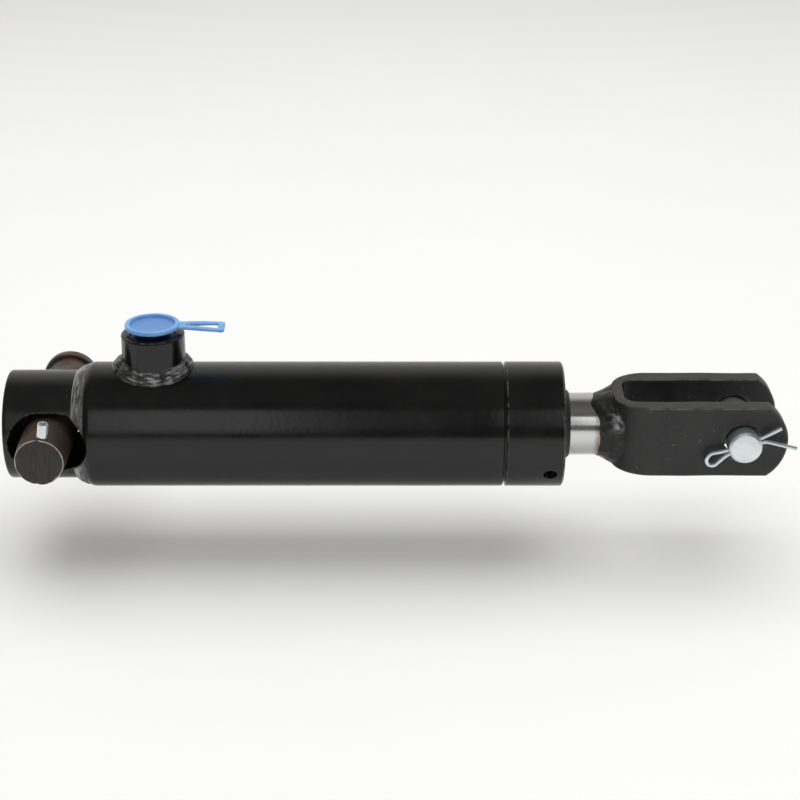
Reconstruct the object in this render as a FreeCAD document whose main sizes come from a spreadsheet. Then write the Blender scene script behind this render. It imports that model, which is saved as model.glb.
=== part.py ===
"""Single-acting welded hydraulic cylinder with a slotted base eye and a U-shaped rod clevis.

Frame: millimetres, +X from the base eye to the rod clevis, +Z up towards the oil port.
The origin is the centre of the base pin, on the cylinder's axis. The rod is drawn fully in.
"""
import FreeCAD, Part
import math
import os
import Sketcher
from FreeCAD import Placement, Rotation, Vector

doc = FreeCAD.newDocument("hydraulic_cylinder")

# ---------------------------------------------------------------- driving dimensions, in mm and degrees
DIMENSIONS = {
    # tube and base eye
    "tube_od": 60.0, "tube_bore": 50.0, "tube_left": 13.0, "tube_right": 216.4,
    "bevel_length": 7.0, "bevel_radius": 26.2, "edge_break": 0.8,
    "eye_od": 52.0, "eye_left": -20.2, "eye_right": 12.8, "eye_chamfer": 1.2, "plug_end": 34.0,
    "slot_left": -17.6, "slot_right": 19.5, "slot_half_height": 14.3,
    "weld_left": 12.0, "weld_right": 18.4, "weld_radius": 28.1,
    # oil port and its plug
    "port_place": 50.0, "boss_od": 30.0, "boss_top": 47.6, "port_mouth_radius": 10.6,
    "port_mouth_floor": 41.6, "port_thread_radius": 9.5, "port_thread_floor": 31.0,
    "port_bore_radius": 7.0, "port_weld_radius": 19.5, "port_weld_shoulder": 26.0, "port_weld_top": 35.5,
    "plug_top": 52.2, "plug_flange_radius": 13.0, "plug_flange_thick": 2.1, "plug_shank_radius": 10.35,
    "plug_bottom": 42.0, "plug_mouth_radius": 10.7, "plug_recess": 1.5,
    "plug_neck_radius": 8.0, "plug_shoulder": 46.4, "tab_thick": 1.3,
    "tab_end": 84.2, "tab_width": 11.4, "tab_slot_start": 65.0, "tab_slot_end": 81.0, "tab_slot_width": 5.0,
    # gland and what it holds
    "gland_left": 194.4, "gland_right": 244.6, "gland_spigot_radius": 24.95,
    "thread_start": 205.8, "thread_radius": 27.0, "gland_bore_radius": 15.3,
    "oring_groove_left": 198.4, "oring_groove_right": 204.4, "oring_groove_radius": 21.7,
    "oring_cord_radius": 1.6, "backup_width": 2.2,
    "bearing_left": 197.5, "bearing_right": 210.0, "bearing_groove_radius": 17.5,
    "seal_left": 214.0, "seal_right": 222.0, "seal_groove_radius": 20.0,
    "wiper_left": 237.4, "wiper_groove_radius": 19.0, "wiper_nose": 247.9, "wiper_nose_radius": 17.1,
    "spanner_hole_radius": 3.2, "spanner_hole_place": 237.9, "spanner_hole_depth": 7.5,
    "spanner_hole_angle": 30.0,
    # rod and its guide piston
    "rod_od": 30.0, "rod_right": 267.9, "rod_fit": 0.05, "spigot_od": 20.0, "spigot_left": 46.0,
    "guide_left": 60.0, "guide_right": 84.0, "guide_od": 49.2, "guide_groove_left": 65.9,
    "guide_groove_right": 78.1, "guide_groove_radius": 22.5, "guide_ring_radius": 24.95,
    "guide_ring_play": 0.1, "oil_hole_radius": 2.5, "oil_hole_ring": 16.0,
    "nut_left": 48.0, "nut_flats": 30.0,
    # clevis
    "clevis_left": 267.9, "clevis_height": 35.0, "clevis_width": 44.0, "bar_thick": 9.0, "web_thick": 5.6,
    "bend_inner": 6.0, "bend_outer": 18.5, "clevis_pin_place": 329.0, "ear_radius": 21.0,
    "ear_hole_radius": 9.0, "rod_weld_left": 258.0, "rod_weld_radius": 18.8, "rod_weld_right": 273.2,
    # pins
    "clevis_pin_od": 16.0, "clevis_pin_front": -28.6, "clevis_head_od": 22.0, "clevis_head_thick": 4.0,
    "clevis_head_gap": 0.4, "pin_chamfer": 1.0, "cotter_place": -25.4, "cotter_angle": 22.0,
    "cotter_wire_radius": 0.95, "cotter_hole_radius": 2.2,
    "base_pin_od": 24.0, "base_pin_front": -43.8, "base_lead_od": 23.0, "base_lead_length": 9.6,
    "base_head_left": 53.2, "base_head_right": 60.3, "base_head_od": 27.6, "base_head_round": 1.8,
    "roll_pin_place": -39.5, "roll_pin_od": 5.0, "roll_pin_fit": 0.05, "roll_pin_wall": 1.0,
    "roll_pin_bottom": -11.6, "roll_pin_top": 18.4, "roll_pin_slit": 0.9, "roll_pin_lean": 8.0,
}

sheet = doc.addObject("Spreadsheet::Sheet", "Dims")
for row, (alias, value) in enumerate(DIMENSIONS.items(), start=1):
    sheet.set(f"A{row}", alias)
    sheet.set(f"B{row}", str(value))
    sheet.setAlias(f"B{row}", alias)
doc.recompute()


def size(alias):
    """The sheet's value of one driving dimension."""
    return float(getattr(sheet, alias))


# ---------------------------------------------------------------- helpers
def new_body(label):
    body = doc.addObject("PartDesign::Body", label)
    body.Label = label
    return body


def new_sketch(body, name, plane, offset=None):
    """An empty sketch on one of the body's own origin planes, moved along the plane's normal by offset."""
    sketch = body.newObject("Sketcher::SketchObject", name)
    support = next(f for f in body.Origin.OriginFeatures if f.Role == plane)
    sketch.AttachmentSupport = [(support, "")]
    sketch.MapMode = "FlatFace"
    if offset is not None:
        sketch.setExpression("AttachmentOffset.Base.z", offset)
    return sketch


def pin_down(sketch, element, point, across, up):
    """Fixes one point of the sketch at two sheet expressions, starting from where the point is."""
    here = sketch.getPoint(element, point)
    for kind, value, text in (("DistanceX", here.x, across), ("DistanceY", here.y, up)):
        index = sketch.addConstraint(Sketcher.Constraint(kind, -1, 1, element, point, value))
        sketch.setExpression(f"Constraints[{index}]", text)


def outline(body, name, plane, corners, offset=None):
    """A closed straight-sided sketch whose corners are pairs of sheet expressions."""
    sketch = new_sketch(body, name, plane, offset)
    count = len(corners)
    ring = [Vector(math.cos(2 * math.pi * i / count), math.sin(2 * math.pi * i / count), 0) * 40
            for i in range(count)]
    for i in range(count):
        sketch.addGeometry(Part.LineSegment(ring[i], ring[(i + 1) % count]), False)
    for i in range(count):
        sketch.addConstraint(Sketcher.Constraint("Coincident", i, 2, (i + 1) % count, 1))
    for i, (across, up) in enumerate(corners):
        pin_down(sketch, i, 1, across, up)
    return sketch


def circle_sketch(body, name, plane, centres, radius, offset=None):
    """Circles of one radius at pairs of sheet expressions."""
    sketch = new_sketch(body, name, plane, offset)
    for i, (across, up) in enumerate(centres):
        sketch.addGeometry(Part.Circle(Vector(0, 0, 0), Vector(0, 0, 1), 1.0), False)
        pin_down(sketch, i, 3, across, up)
        index = sketch.addConstraint(Sketcher.Constraint("Radius", i, 1.0))
        sketch.setExpression(f"Constraints[{index}]", radius)
    return sketch


def slot_sketch(body, name, plane, ends, half_height, start, offset=None):
    """A round-ended slot along the sketch's X; ends are the two arc centres, start their first values."""
    sketch = new_sketch(body, name, plane, offset)
    left, right, high = start
    quarter = math.pi / 2
    sketch.addGeometry(Part.LineSegment(Vector(left, high, 0), Vector(right, high, 0)), False)
    sketch.addGeometry(Part.LineSegment(Vector(right, -high, 0), Vector(left, -high, 0)), False)
    for middle, begin in ((left, quarter), (right, -quarter)):
        rim = Part.Circle(Vector(middle, 0, 0), Vector(0, 0, 1), high)
        sketch.addGeometry(Part.ArcOfCircle(rim, begin, begin + math.pi), False)
    for line, line_end, arc, arc_end in ((0, 1, 2, 1), (2, 2, 1, 2), (1, 1, 3, 1), (3, 2, 0, 2)):
        sketch.addConstraint(Sketcher.Constraint("Tangent", line, line_end, arc, arc_end))
    pin_down(sketch, 2, 3, ends[0], "0")
    pin_down(sketch, 3, 3, ends[1], "0")
    sketch.addConstraint(Sketcher.Constraint("Equal", 2, 3))
    index = sketch.addConstraint(Sketcher.Constraint("Radius", 2, high))
    sketch.setExpression(f"Constraints[{index}]", half_height)
    return sketch


def revolve(body, sketch, axis="H_Axis"):
    turned = body.newObject("PartDesign::Revolution", sketch.Name + "_turned")
    turned.Profile = sketch
    turned.ReferenceAxis = (sketch, [axis])
    turned.Angle = 360.0
    sketch.Visibility = False
    return turned


def lathe(label, corners, plane="XZ_Plane", axis="H_Axis", offset=None):
    """A turned piece. XZ_Plane turns about X, YZ_Plane about Y (H_Axis) or Z (V_Axis)."""
    body = new_body(label)
    revolve(body, outline(body, label + "_profile", plane, corners, offset), axis)
    return body


def cut_through(body, sketch, length="200"):
    """Pockets the sketch both ways from its plane, and stops if nothing was cut."""
    doc.recompute()
    before = body.Shape.Volume
    pocket = body.newObject("PartDesign::Pocket", sketch.Name + "_cut")
    pocket.Profile = sketch
    pocket.Midplane = True
    pocket.setExpression("Length", length)
    doc.recompute()
    if not body.Shape.Volume < before - 1e-3:
        raise ValueError(sketch.Name + " cuts nothing")
    return pocket


def fillet_edges(body, name, radius, wanted):
    """Rounds the edges of the body's tip that the wanted test accepts."""
    doc.recompute()
    tip = body.Tip
    names = [f"Edge{i}" for i, edge in enumerate(tip.Shape.Edges, start=1) if wanted(edge)]
    fillet = body.newObject("PartDesign::Fillet", name)
    fillet.Base = (tip, names)
    fillet.setExpression("Radius", radius)
    doc.recompute()
    return fillet


def primitive(kind, label, place=None, **sizes):
    """A Part primitive whose sizes are sheet expressions."""
    solid = doc.addObject(kind, label)
    solid.Label = label
    for name, text in sizes.items():
        solid.setExpression(name, text)
    if place is not None:
        solid.Placement = place
    return solid


def boolean(kind, label, base, tool):
    result = doc.addObject(kind, label)
    result.Label = label
    result.Base = base
    result.Tool = tool
    return result


TURN_TO_X = Rotation(Vector(0, 1, 0), 90)
finished = []


def keep(*pieces):
    finished.extend(pieces)


# ---------------------------------------------------------------- base eye, tube and their weld
def cross_slot(body):
    """The slot for the base pin, which also bites into the weld and the tube's bevelled end."""
    high = size("slot_half_height")
    start = (size("slot_left") + high, size("slot_right") - high, high)
    ends = ("Dims.slot_left + Dims.slot_half_height", "Dims.slot_right - Dims.slot_half_height")
    sketch = slot_sketch(body, body.Name + "_slot", "XZ_Plane", ends, "Dims.slot_half_height", start)
    cut_through(body, sketch)


def make_base_cap():
    body = lathe("base_cap", [
        ("Dims.eye_left", "0"),
        ("Dims.eye_left", "Dims.eye_od / 2 - Dims.eye_chamfer"),
        ("Dims.eye_left + Dims.eye_chamfer", "Dims.eye_od / 2"),
        ("Dims.eye_right", "Dims.eye_od / 2"),
        ("Dims.eye_right", "Dims.tube_bore / 2"),
        ("Dims.plug_end", "Dims.tube_bore / 2"),
        ("Dims.plug_end", "0"),
    ])
    cross_slot(body)
    return body


def make_barrel_tube():
    body = lathe("barrel_tube", [
        ("Dims.tube_left", "Dims.tube_bore / 2"),
        ("Dims.tube_left", "Dims.bevel_radius"),
        ("Dims.tube_left + Dims.bevel_length", "Dims.tube_od / 2"),
        ("Dims.tube_right - Dims.edge_break", "Dims.tube_od / 2"),
        ("Dims.tube_right", "Dims.tube_od / 2 - Dims.edge_break"),
        ("Dims.tube_right", "Dims.thread_radius"),
        ("Dims.thread_start", "Dims.thread_radius"),
        ("Dims.thread_start", "Dims.tube_bore / 2"),
    ])
    cross_slot(body)
    before = body.Shape.Volume
    port = circle_sketch(body, "tube_port", "XY_Plane", [("Dims.port_place", "0")], "Dims.port_bore_radius")
    pocket = body.newObject("PartDesign::Pocket", "tube_port_cut")
    pocket.Profile = port
    pocket.Length = size("tube_od")
    pocket.Reversed = True
    doc.recompute()
    if not body.Shape.Volume < before - 1:
        raise ValueError("the port hole cuts nothing")
    return body


def make_base_weld():
    slope = "(Dims.tube_od / 2 - Dims.bevel_radius) / Dims.bevel_length"
    body = lathe("base_weld_bead", [
        ("Dims.weld_left", "Dims.eye_od / 2"),
        ("Dims.weld_left + 1", "Dims.weld_radius - 1.3"),
        ("(Dims.weld_left + Dims.weld_right) / 2", "Dims.weld_radius"),
        ("Dims.weld_right - 0.8", "Dims.weld_radius + 0.9"),
        ("Dims.weld_right", f"Dims.bevel_radius + (Dims.weld_right - Dims.tube_left) * {slope}"),
        ("Dims.tube_left", "Dims.bevel_radius"),
        ("Dims.tube_left", "Dims.tube_bore / 2"),
        ("Dims.eye_right", "Dims.tube_bore / 2"),
        ("Dims.eye_right", "Dims.eye_od / 2"),
    ])
    cross_slot(body)
    return body


# ---------------------------------------------------------------- oil port
def make_port_boss():
    """A round boss with a lead-in, a thread drawn at its core size and an oil hole, saddled on the tube."""
    blank = lathe("port_boss_blank", [
        ("Dims.port_bore_radius", "Dims.tube_bore / 2"),
        ("Dims.port_bore_radius", "Dims.port_thread_floor"),
        ("Dims.port_thread_radius", "Dims.port_thread_floor"),
        ("Dims.port_thread_radius", "Dims.port_mouth_floor"),
        ("Dims.port_mouth_radius", "Dims.port_mouth_floor"),
        ("Dims.port_mouth_radius", "Dims.boss_top - 0.6"),
        ("Dims.port_mouth_radius + 0.6", "Dims.boss_top"),
        ("Dims.boss_od / 2 - Dims.edge_break", "Dims.boss_top"),
        ("Dims.boss_od / 2", "Dims.boss_top - Dims.edge_break"),
        ("Dims.boss_od / 2", "Dims.tube_bore / 2"),
    ], "YZ_Plane", "V_Axis", "Dims.port_place")
    saddle = primitive("Part::Cylinder", "tube_envelope", Placement(Vector(0, 0, 0), TURN_TO_X),
                       Radius="Dims.tube_od / 2", Height="Dims.tube_right")
    return boolean("Part::Cut", "port_boss", blank, saddle), saddle


def make_port_weld(saddle):
    blank = lathe("port_weld_blank", [
        ("Dims.boss_od / 2", "Dims.tube_bore / 2 - 8"),
        ("Dims.port_weld_radius", "Dims.tube_bore / 2 - 8"),
        ("Dims.port_weld_radius", "Dims.port_weld_shoulder"),
        ("Dims.port_weld_radius - 1.6", "Dims.port_weld_top - 3.4"),
        ("Dims.boss_od / 2", "Dims.port_weld_top"),
    ], "YZ_Plane", "V_Axis", "Dims.port_place")
    return boolean("Part::Cut", "port_weld_bead", blank, saddle)


def make_port_plug():
    """The soft shipping plug: a flange with a shallow recess, a shank under it, and a slotted tab."""
    under = "Dims.plug_top - Dims.plug_flange_thick"
    recess = "Dims.plug_top - Dims.plug_recess"
    body = lathe("port_cap", [
        ("0", "Dims.plug_bottom"),
        ("Dims.plug_shank_radius - 0.8", "Dims.plug_bottom"),
        ("Dims.plug_shank_radius", "Dims.plug_bottom + 0.8"),
        ("Dims.plug_shank_radius", "Dims.plug_shoulder"),
        ("Dims.plug_neck_radius", "Dims.plug_shoulder + 1.2"),
        ("Dims.plug_neck_radius", under),
        ("Dims.plug_flange_radius - 0.3", under),
        ("Dims.plug_flange_radius", f"{under} + 0.3"),
        ("Dims.plug_flange_radius", "Dims.plug_top - 0.3"),
        ("Dims.plug_flange_radius - 0.3", "Dims.plug_top"),
        ("Dims.plug_mouth_radius", "Dims.plug_top"),
        ("Dims.plug_mouth_radius", recess),
        ("0", recess),
    ], "YZ_Plane", "V_Axis", "Dims.port_place")
    doc.recompute()
    before = body.Shape.Volume
    near = "Dims.port_place + Dims.plug_flange_radius - 1.2"
    tab = outline(body, "tab_outline", "XY_Plane", [
        (near, "-Dims.tab_width / 2"),
        ("Dims.tab_end - 2", "-Dims.tab_width / 2"),
        ("Dims.tab_end", "-Dims.tab_width / 2 + 2"),
        ("Dims.tab_end", "Dims.tab_width / 2 - 2"),
        ("Dims.tab_end - 2", "Dims.tab_width / 2"),
        (near, "Dims.tab_width / 2"),
    ], under)
    pad = body.newObject("PartDesign::Pad", "tab_pad")
    pad.Profile = tab
    pad.setExpression("Length", "Dims.tab_thick")
    doc.recompute()
    if not body.Shape.Volume > before + 1:
        raise ValueError("the tab adds nothing")
    half = size("tab_slot_width") / 2
    start = (size("tab_slot_start") + half, size("tab_slot_end") - half, half)
    ends = ("Dims.tab_slot_start + Dims.tab_slot_width / 2", "Dims.tab_slot_end - Dims.tab_slot_width / 2")
    slot = slot_sketch(body, "tab_slot", "XY_Plane", ends, "Dims.tab_slot_width / 2", start, under)
    cut_through(body, slot, "Dims.tab_thick * 4")
    return body


# ---------------------------------------------------------------- gland, seals and bearing
def make_gland_head():
    body = lathe("gland_head", [
        ("Dims.gland_left", "Dims.gland_bore_radius"),
        ("Dims.gland_left", "Dims.gland_spigot_radius - Dims.edge_break"),
        ("Dims.gland_left + Dims.edge_break", "Dims.gland_spigot_radius"),
        ("Dims.oring_groove_left", "Dims.gland_spigot_radius"),
        ("Dims.oring_groove_left", "Dims.oring_groove_radius"),
        ("Dims.oring_groove_right", "Dims.oring_groove_radius"),
        ("Dims.oring_groove_right", "Dims.gland_spigot_radius"),
        ("Dims.thread_start + 0.6", "Dims.gland_spigot_radius"),
        ("Dims.thread_start + 0.6", "Dims.thread_radius"),
        ("Dims.tube_right", "Dims.thread_radius"),
        ("Dims.tube_right", "Dims.tube_od / 2 - Dims.edge_break"),
        ("Dims.tube_right + Dims.edge_break", "Dims.tube_od / 2"),
        ("Dims.gland_right - Dims.edge_break", "Dims.tube_od / 2"),
        ("Dims.gland_right", "Dims.tube_od / 2 - Dims.edge_break"),
        ("Dims.gland_right", "Dims.wiper_groove_radius"),
        ("Dims.wiper_left", "Dims.wiper_groove_radius"),
        ("Dims.wiper_left", "Dims.gland_bore_radius"),
        ("Dims.seal_right", "Dims.gland_bore_radius"),
        ("Dims.seal_right", "Dims.seal_groove_radius"),
        ("Dims.seal_left", "Dims.seal_groove_radius"),
        ("Dims.seal_left", "Dims.gland_bore_radius"),
        ("Dims.bearing_right", "Dims.gland_bore_radius"),
        ("Dims.bearing_right", "Dims.bearing_groove_radius"),
        ("Dims.bearing_left", "Dims.bearing_groove_radius"),
        ("Dims.bearing_left", "Dims.gland_bore_radius"),
    ])
    # two blind spanner holes on one cross axis, drilled as a pair of radial cylinders
    angle = math.radians(size("spanner_hole_angle"))
    inward = Vector(0, math.cos(angle), math.sin(angle))
    holes = []
    for side, name in ((1, "front"), (-1, "rear")):
        start = inward * (-side * (size("tube_od") / 2 + 5))
        place = Placement(Vector(size("spanner_hole_place"), start.y, start.z),
                          Rotation(Vector(0, 0, 1), inward * side))
        holes.append(primitive("Part::Cylinder", f"spanner_hole_{name}", place,
                               Radius="Dims.spanner_hole_radius", Height="Dims.spanner_hole_depth + 5"))
    body.Label = "gland_blank"
    first = boolean("Part::Cut", "gland_one_hole", body, holes[0])
    return boolean("Part::Cut", "gland_head", first, holes[1])


def make_gland_seals():
    fit = "Dims.rod_od / 2 + Dims.rod_fit"
    bearing = lathe("gland_wear_ring", [
        ("Dims.bearing_left", fit), ("Dims.bearing_left", "Dims.bearing_groove_radius"),
        ("Dims.bearing_right", "Dims.bearing_groove_radius"), ("Dims.bearing_right", fit),
    ])
    seal = lathe("rod_seal", [
        ("Dims.seal_left + 0.3", fit), ("Dims.seal_left + 0.3", f"{fit} + 1"),
        ("Dims.seal_left + 3.5", "(Dims.seal_groove_radius + Dims.rod_od / 2) / 2"),
        ("Dims.seal_left + 0.3", "Dims.seal_groove_radius - 1"),
        ("Dims.seal_left + 0.3", "Dims.seal_groove_radius"),
        ("Dims.seal_right", "Dims.seal_groove_radius"), ("Dims.seal_right", fit),
    ])
    wiper = lathe("rod_wiper", [
        ("Dims.wiper_left", f"{fit} + 1"), ("Dims.wiper_left", "Dims.wiper_groove_radius"),
        ("Dims.gland_right - 0.4", "Dims.wiper_groove_radius"),
        ("Dims.gland_right - 0.4", "Dims.wiper_nose_radius"),
        ("Dims.gland_right + 1", "Dims.wiper_nose_radius"),
        ("Dims.wiper_nose - 0.3", f"{fit} + 0.6"), ("Dims.wiper_nose", f"{fit} + 0.2"),
        ("Dims.wiper_nose", fit), ("Dims.wiper_nose - 2", fit),
    ])
    place = Placement(Vector(0, 0, 0), TURN_TO_X)
    ring = primitive("Part::Torus", "gland_o_ring", place,
                     Radius1="Dims.oring_groove_radius + Dims.oring_cord_radius", Radius2="Dims.oring_cord_radius")
    ring.setExpression("Placement.Base.x", "Dims.oring_groove_right - Dims.oring_cord_radius - 0.1")
    backup = lathe("gland_backup_ring", [
        ("Dims.oring_groove_left", "Dims.oring_groove_radius"),
        ("Dims.oring_groove_left", "Dims.gland_spigot_radius"),
        ("Dims.oring_groove_left + Dims.backup_width", "Dims.gland_spigot_radius"),
        ("Dims.oring_groove_left + Dims.backup_width", "Dims.oring_groove_radius"),
    ])
    return bearing, seal, wiper, ring, backup


# ---------------------------------------------------------------- rod and guide piston
def make_piston_rod():
    return lathe("piston_rod", [
        ("Dims.spigot_left", "0"),
        ("Dims.spigot_left", "Dims.spigot_od / 2 - 1.5"),
        ("Dims.spigot_left + 1.5", "Dims.spigot_od / 2"),
        ("Dims.guide_right", "Dims.spigot_od / 2"),
        ("Dims.guide_right", "Dims.rod_od / 2 - Dims.edge_break"),
        ("Dims.guide_right + Dims.edge_break", "Dims.rod_od / 2"),
        ("Dims.rod_right", "Dims.rod_od / 2"),
        ("Dims.rod_right", "0"),
    ])


def make_rod_guide():
    """The guide piston, with axial holes so that oil passes freely from one side to the other."""
    body = lathe("rod_guide", [
        ("Dims.guide_left", "Dims.spigot_od / 2"),
        ("Dims.guide_left", "Dims.guide_od / 2 - 1"),
        ("Dims.guide_left + 1", "Dims.guide_od / 2"),
        ("Dims.guide_groove_left", "Dims.guide_od / 2"),
        ("Dims.guide_groove_left", "Dims.guide_groove_radius"),
        ("Dims.guide_groove_right", "Dims.guide_groove_radius"),
        ("Dims.guide_groove_right", "Dims.guide_od / 2"),
        ("Dims.guide_right - 1", "Dims.guide_od / 2"),
        ("Dims.guide_right", "Dims.guide_od / 2 - 1"),
        ("Dims.guide_right", "Dims.spigot_od / 2"),
    ])
    holes = circle_sketch(body, "oil_holes", "YZ_Plane", [
        ("Dims.oil_hole_ring * cos(30)", "Dims.oil_hole_ring * sin(30)"),
        ("0", "Dims.oil_hole_ring"),
        ("-Dims.oil_hole_ring * cos(30)", "Dims.oil_hole_ring * sin(30)"),
        ("-Dims.oil_hole_ring * cos(30)", "-Dims.oil_hole_ring * sin(30)"),
        ("0", "-Dims.oil_hole_ring"),
        ("Dims.oil_hole_ring * cos(30)", "-Dims.oil_hole_ring * sin(30)"),
    ], "Dims.oil_hole_radius")
    cut_through(body, holes)
    return body


def make_guide_ring():
    inner = "Dims.guide_groove_radius + Dims.guide_ring_play / 2"
    left = "Dims.guide_groove_left + Dims.guide_ring_play"
    right = "Dims.guide_groove_right - Dims.guide_ring_play"
    return lathe("guide_wear_ring", [
        (left, inner), (left, "Dims.guide_ring_radius"), (right, "Dims.guide_ring_radius"), (right, inner),
    ])


def make_lock_nut():
    place = Placement(Vector(size("nut_left"), 0, 0), TURN_TO_X)
    hexagon = primitive("Part::Prism", "nut_blank", place,
                        Circumradius="Dims.nut_flats / 2 / cos(30)", Height="Dims.guide_left - Dims.nut_left")
    hexagon.Polygon = 6
    bore = primitive("Part::Cylinder", "nut_bore", place,
                     Radius="Dims.spigot_od / 2", Height="Dims.guide_left - Dims.nut_left")
    return boolean("Part::Cut", "guide_lock_nut", hexagon, bore)


# ---------------------------------------------------------------- clevis
def make_clevis():
    """A flat bar bent into a U: ears round about the pin, gap between them, one hole across."""
    body = new_body("clevis")
    side = new_sketch(body, "clevis_side", "XZ_Plane")
    half, radius = size("clevis_height") / 2, size("ear_radius")
    left, pin = size("clevis_left"), size("clevis_pin_place")
    shoulder = pin + math.sqrt(radius ** 2 - half ** 2)
    corners = [Vector(shoulder, half, 0), Vector(left, half, 0), Vector(left, -half, 0),
               Vector(shoulder, -half, 0)]
    for first, second in zip(corners, corners[1:]):
        side.addGeometry(Part.LineSegment(first, second), False)
    spread = math.asin(half / radius)
    nose = Part.Circle(Vector(pin, 0, 0), Vector(0, 0, 1), radius)
    side.addGeometry(Part.ArcOfCircle(nose, -spread, spread), False)
    for a, a_end, b, b_end in ((0, 2, 1, 1), (1, 2, 2, 1), (2, 2, 3, 1), (3, 2, 0, 1)):
        side.addConstraint(Sketcher.Constraint("Coincident", a, a_end, b, b_end))
    side.addConstraint(Sketcher.Constraint("Horizontal", 0))
    side.addConstraint(Sketcher.Constraint("Horizontal", 2))
    pin_down(side, 1, 1, "Dims.clevis_left", "Dims.clevis_height / 2")
    pin_down(side, 2, 1, "Dims.clevis_left", "-Dims.clevis_height / 2")
    pin_down(side, 3, 3, "Dims.clevis_pin_place", "0")
    index = side.addConstraint(Sketcher.Constraint("Radius", 3, radius))
    side.setExpression(f"Constraints[{index}]", "Dims.ear_radius")
    pad = body.newObject("PartDesign::Pad", "clevis_pad")
    pad.Profile = side
    pad.Midplane = True
    pad.setExpression("Length", "Dims.clevis_width")
    inside = "Dims.clevis_left + Dims.web_thick"
    gap = outline(body, "clevis_gap", "XY_Plane", [
        (inside, "-(Dims.clevis_width / 2 - Dims.bar_thick)"),
        ("Dims.clevis_pin_place + Dims.ear_radius + 10", "-(Dims.clevis_width / 2 - Dims.bar_thick)"),
        ("Dims.clevis_pin_place + Dims.ear_radius + 10", "Dims.clevis_width / 2 - Dims.bar_thick"),
        (inside, "Dims.clevis_width / 2 - Dims.bar_thick"),
    ])
    cut_through(body, gap)
    hole = circle_sketch(body, "clevis_hole", "XZ_Plane", [("Dims.clevis_pin_place", "0")],
                         "Dims.ear_hole_radius")
    cut_through(body, hole)

    def upright_at(place, across):
        return lambda edge: (abs(edge.CenterOfMass.x - place) < 0.01
                             and abs(abs(edge.CenterOfMass.y) - across) < 0.01
                             and abs(edge.CenterOfMass.z) < 0.01)

    fillet_edges(body, "inner_bends", "Dims.bend_inner",
                 upright_at(left + size("web_thick"), size("clevis_width") / 2 - size("bar_thick")))
    fillet_edges(body, "outer_bends", "Dims.bend_outer", upright_at(left, size("clevis_width") / 2))
    return body


def make_rod_weld(clevis):
    """The fillet weld between the rod and the clevis, cut to the bar's rounded back."""
    blank = lathe("rod_weld_blank", [
        ("Dims.rod_weld_left", "Dims.rod_od / 2"),
        ("Dims.rod_weld_left + 2", "Dims.rod_od / 2 + 0.9"),
        ("Dims.rod_right", "Dims.rod_weld_radius - 0.6"),
        ("Dims.rod_right + 2.5", "Dims.rod_weld_radius"),
        ("Dims.rod_weld_right", "Dims.rod_od / 2 + 0.6"),
        ("Dims.rod_weld_right", "Dims.rod_od / 2"),
    ])
    return boolean("Part::Cut", "clevis_weld_bead", blank, clevis)


# ---------------------------------------------------------------- clevis pin and cotter
def make_clevis_pin():
    head = "Dims.clevis_width / 2 + Dims.clevis_head_gap"
    body = lathe("clevis_pin", [
        ("Dims.clevis_pin_front", "0"),
        ("Dims.clevis_pin_front", "Dims.clevis_pin_od / 2 - Dims.pin_chamfer"),
        ("Dims.clevis_pin_front + Dims.pin_chamfer", "Dims.clevis_pin_od / 2"),
        (head, "Dims.clevis_pin_od / 2"),
        (head, "Dims.clevis_head_od / 2"),
        (f"{head} + Dims.clevis_head_thick - 0.8", "Dims.clevis_head_od / 2"),
        (f"{head} + Dims.clevis_head_thick", "Dims.clevis_head_od / 2 - 0.8"),
        (f"{head} + Dims.clevis_head_thick", "0"),
    ], "YZ_Plane", "H_Axis", "Dims.clevis_pin_place")
    body.Label = "clevis_pin_blank"
    lean = math.radians(size("cotter_angle"))
    along = Vector(math.cos(lean), 0, math.sin(lean))
    centre = Vector(size("clevis_pin_place"), size("cotter_place"), 0)
    place = Placement(centre - along * size("clevis_pin_od"), Rotation(Vector(0, 0, 1), along))
    hole = primitive("Part::Cylinder", "cotter_hole", place,
                     Radius="Dims.cotter_hole_radius", Height="Dims.clevis_pin_od * 2")
    return boolean("Part::Cut", "clevis_pin", body, hole)


def smooth_wire(points, share=0.48, longest=3.0):
    """Straight runs joined by tangent arcs that use up a share of the shorter run at each corner."""
    edges = []
    last = points[0]
    for before, corner, after in zip(points, points[1:], points[2:]):
        back, ahead = before - corner, after - corner
        run = min(share * min(back.Length, ahead.Length), longest)
        back.normalize()
        ahead.normalize()
        half_turn = (math.pi - back.getAngle(ahead)) / 2
        radius = run / math.tan(half_turn)
        inward = back + ahead
        inward.normalize()
        middle = corner + inward * (radius / math.cos(half_turn) - radius)
        start, end = corner + back * run, corner + ahead * run
        edges.append(Part.LineSegment(last, start).toShape())
        edges.append(Part.Arc(start, middle, end).toShape())
        last = end
    edges.append(Part.LineSegment(last, points[-1]).toShape())
    return Part.Wire(edges)


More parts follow.
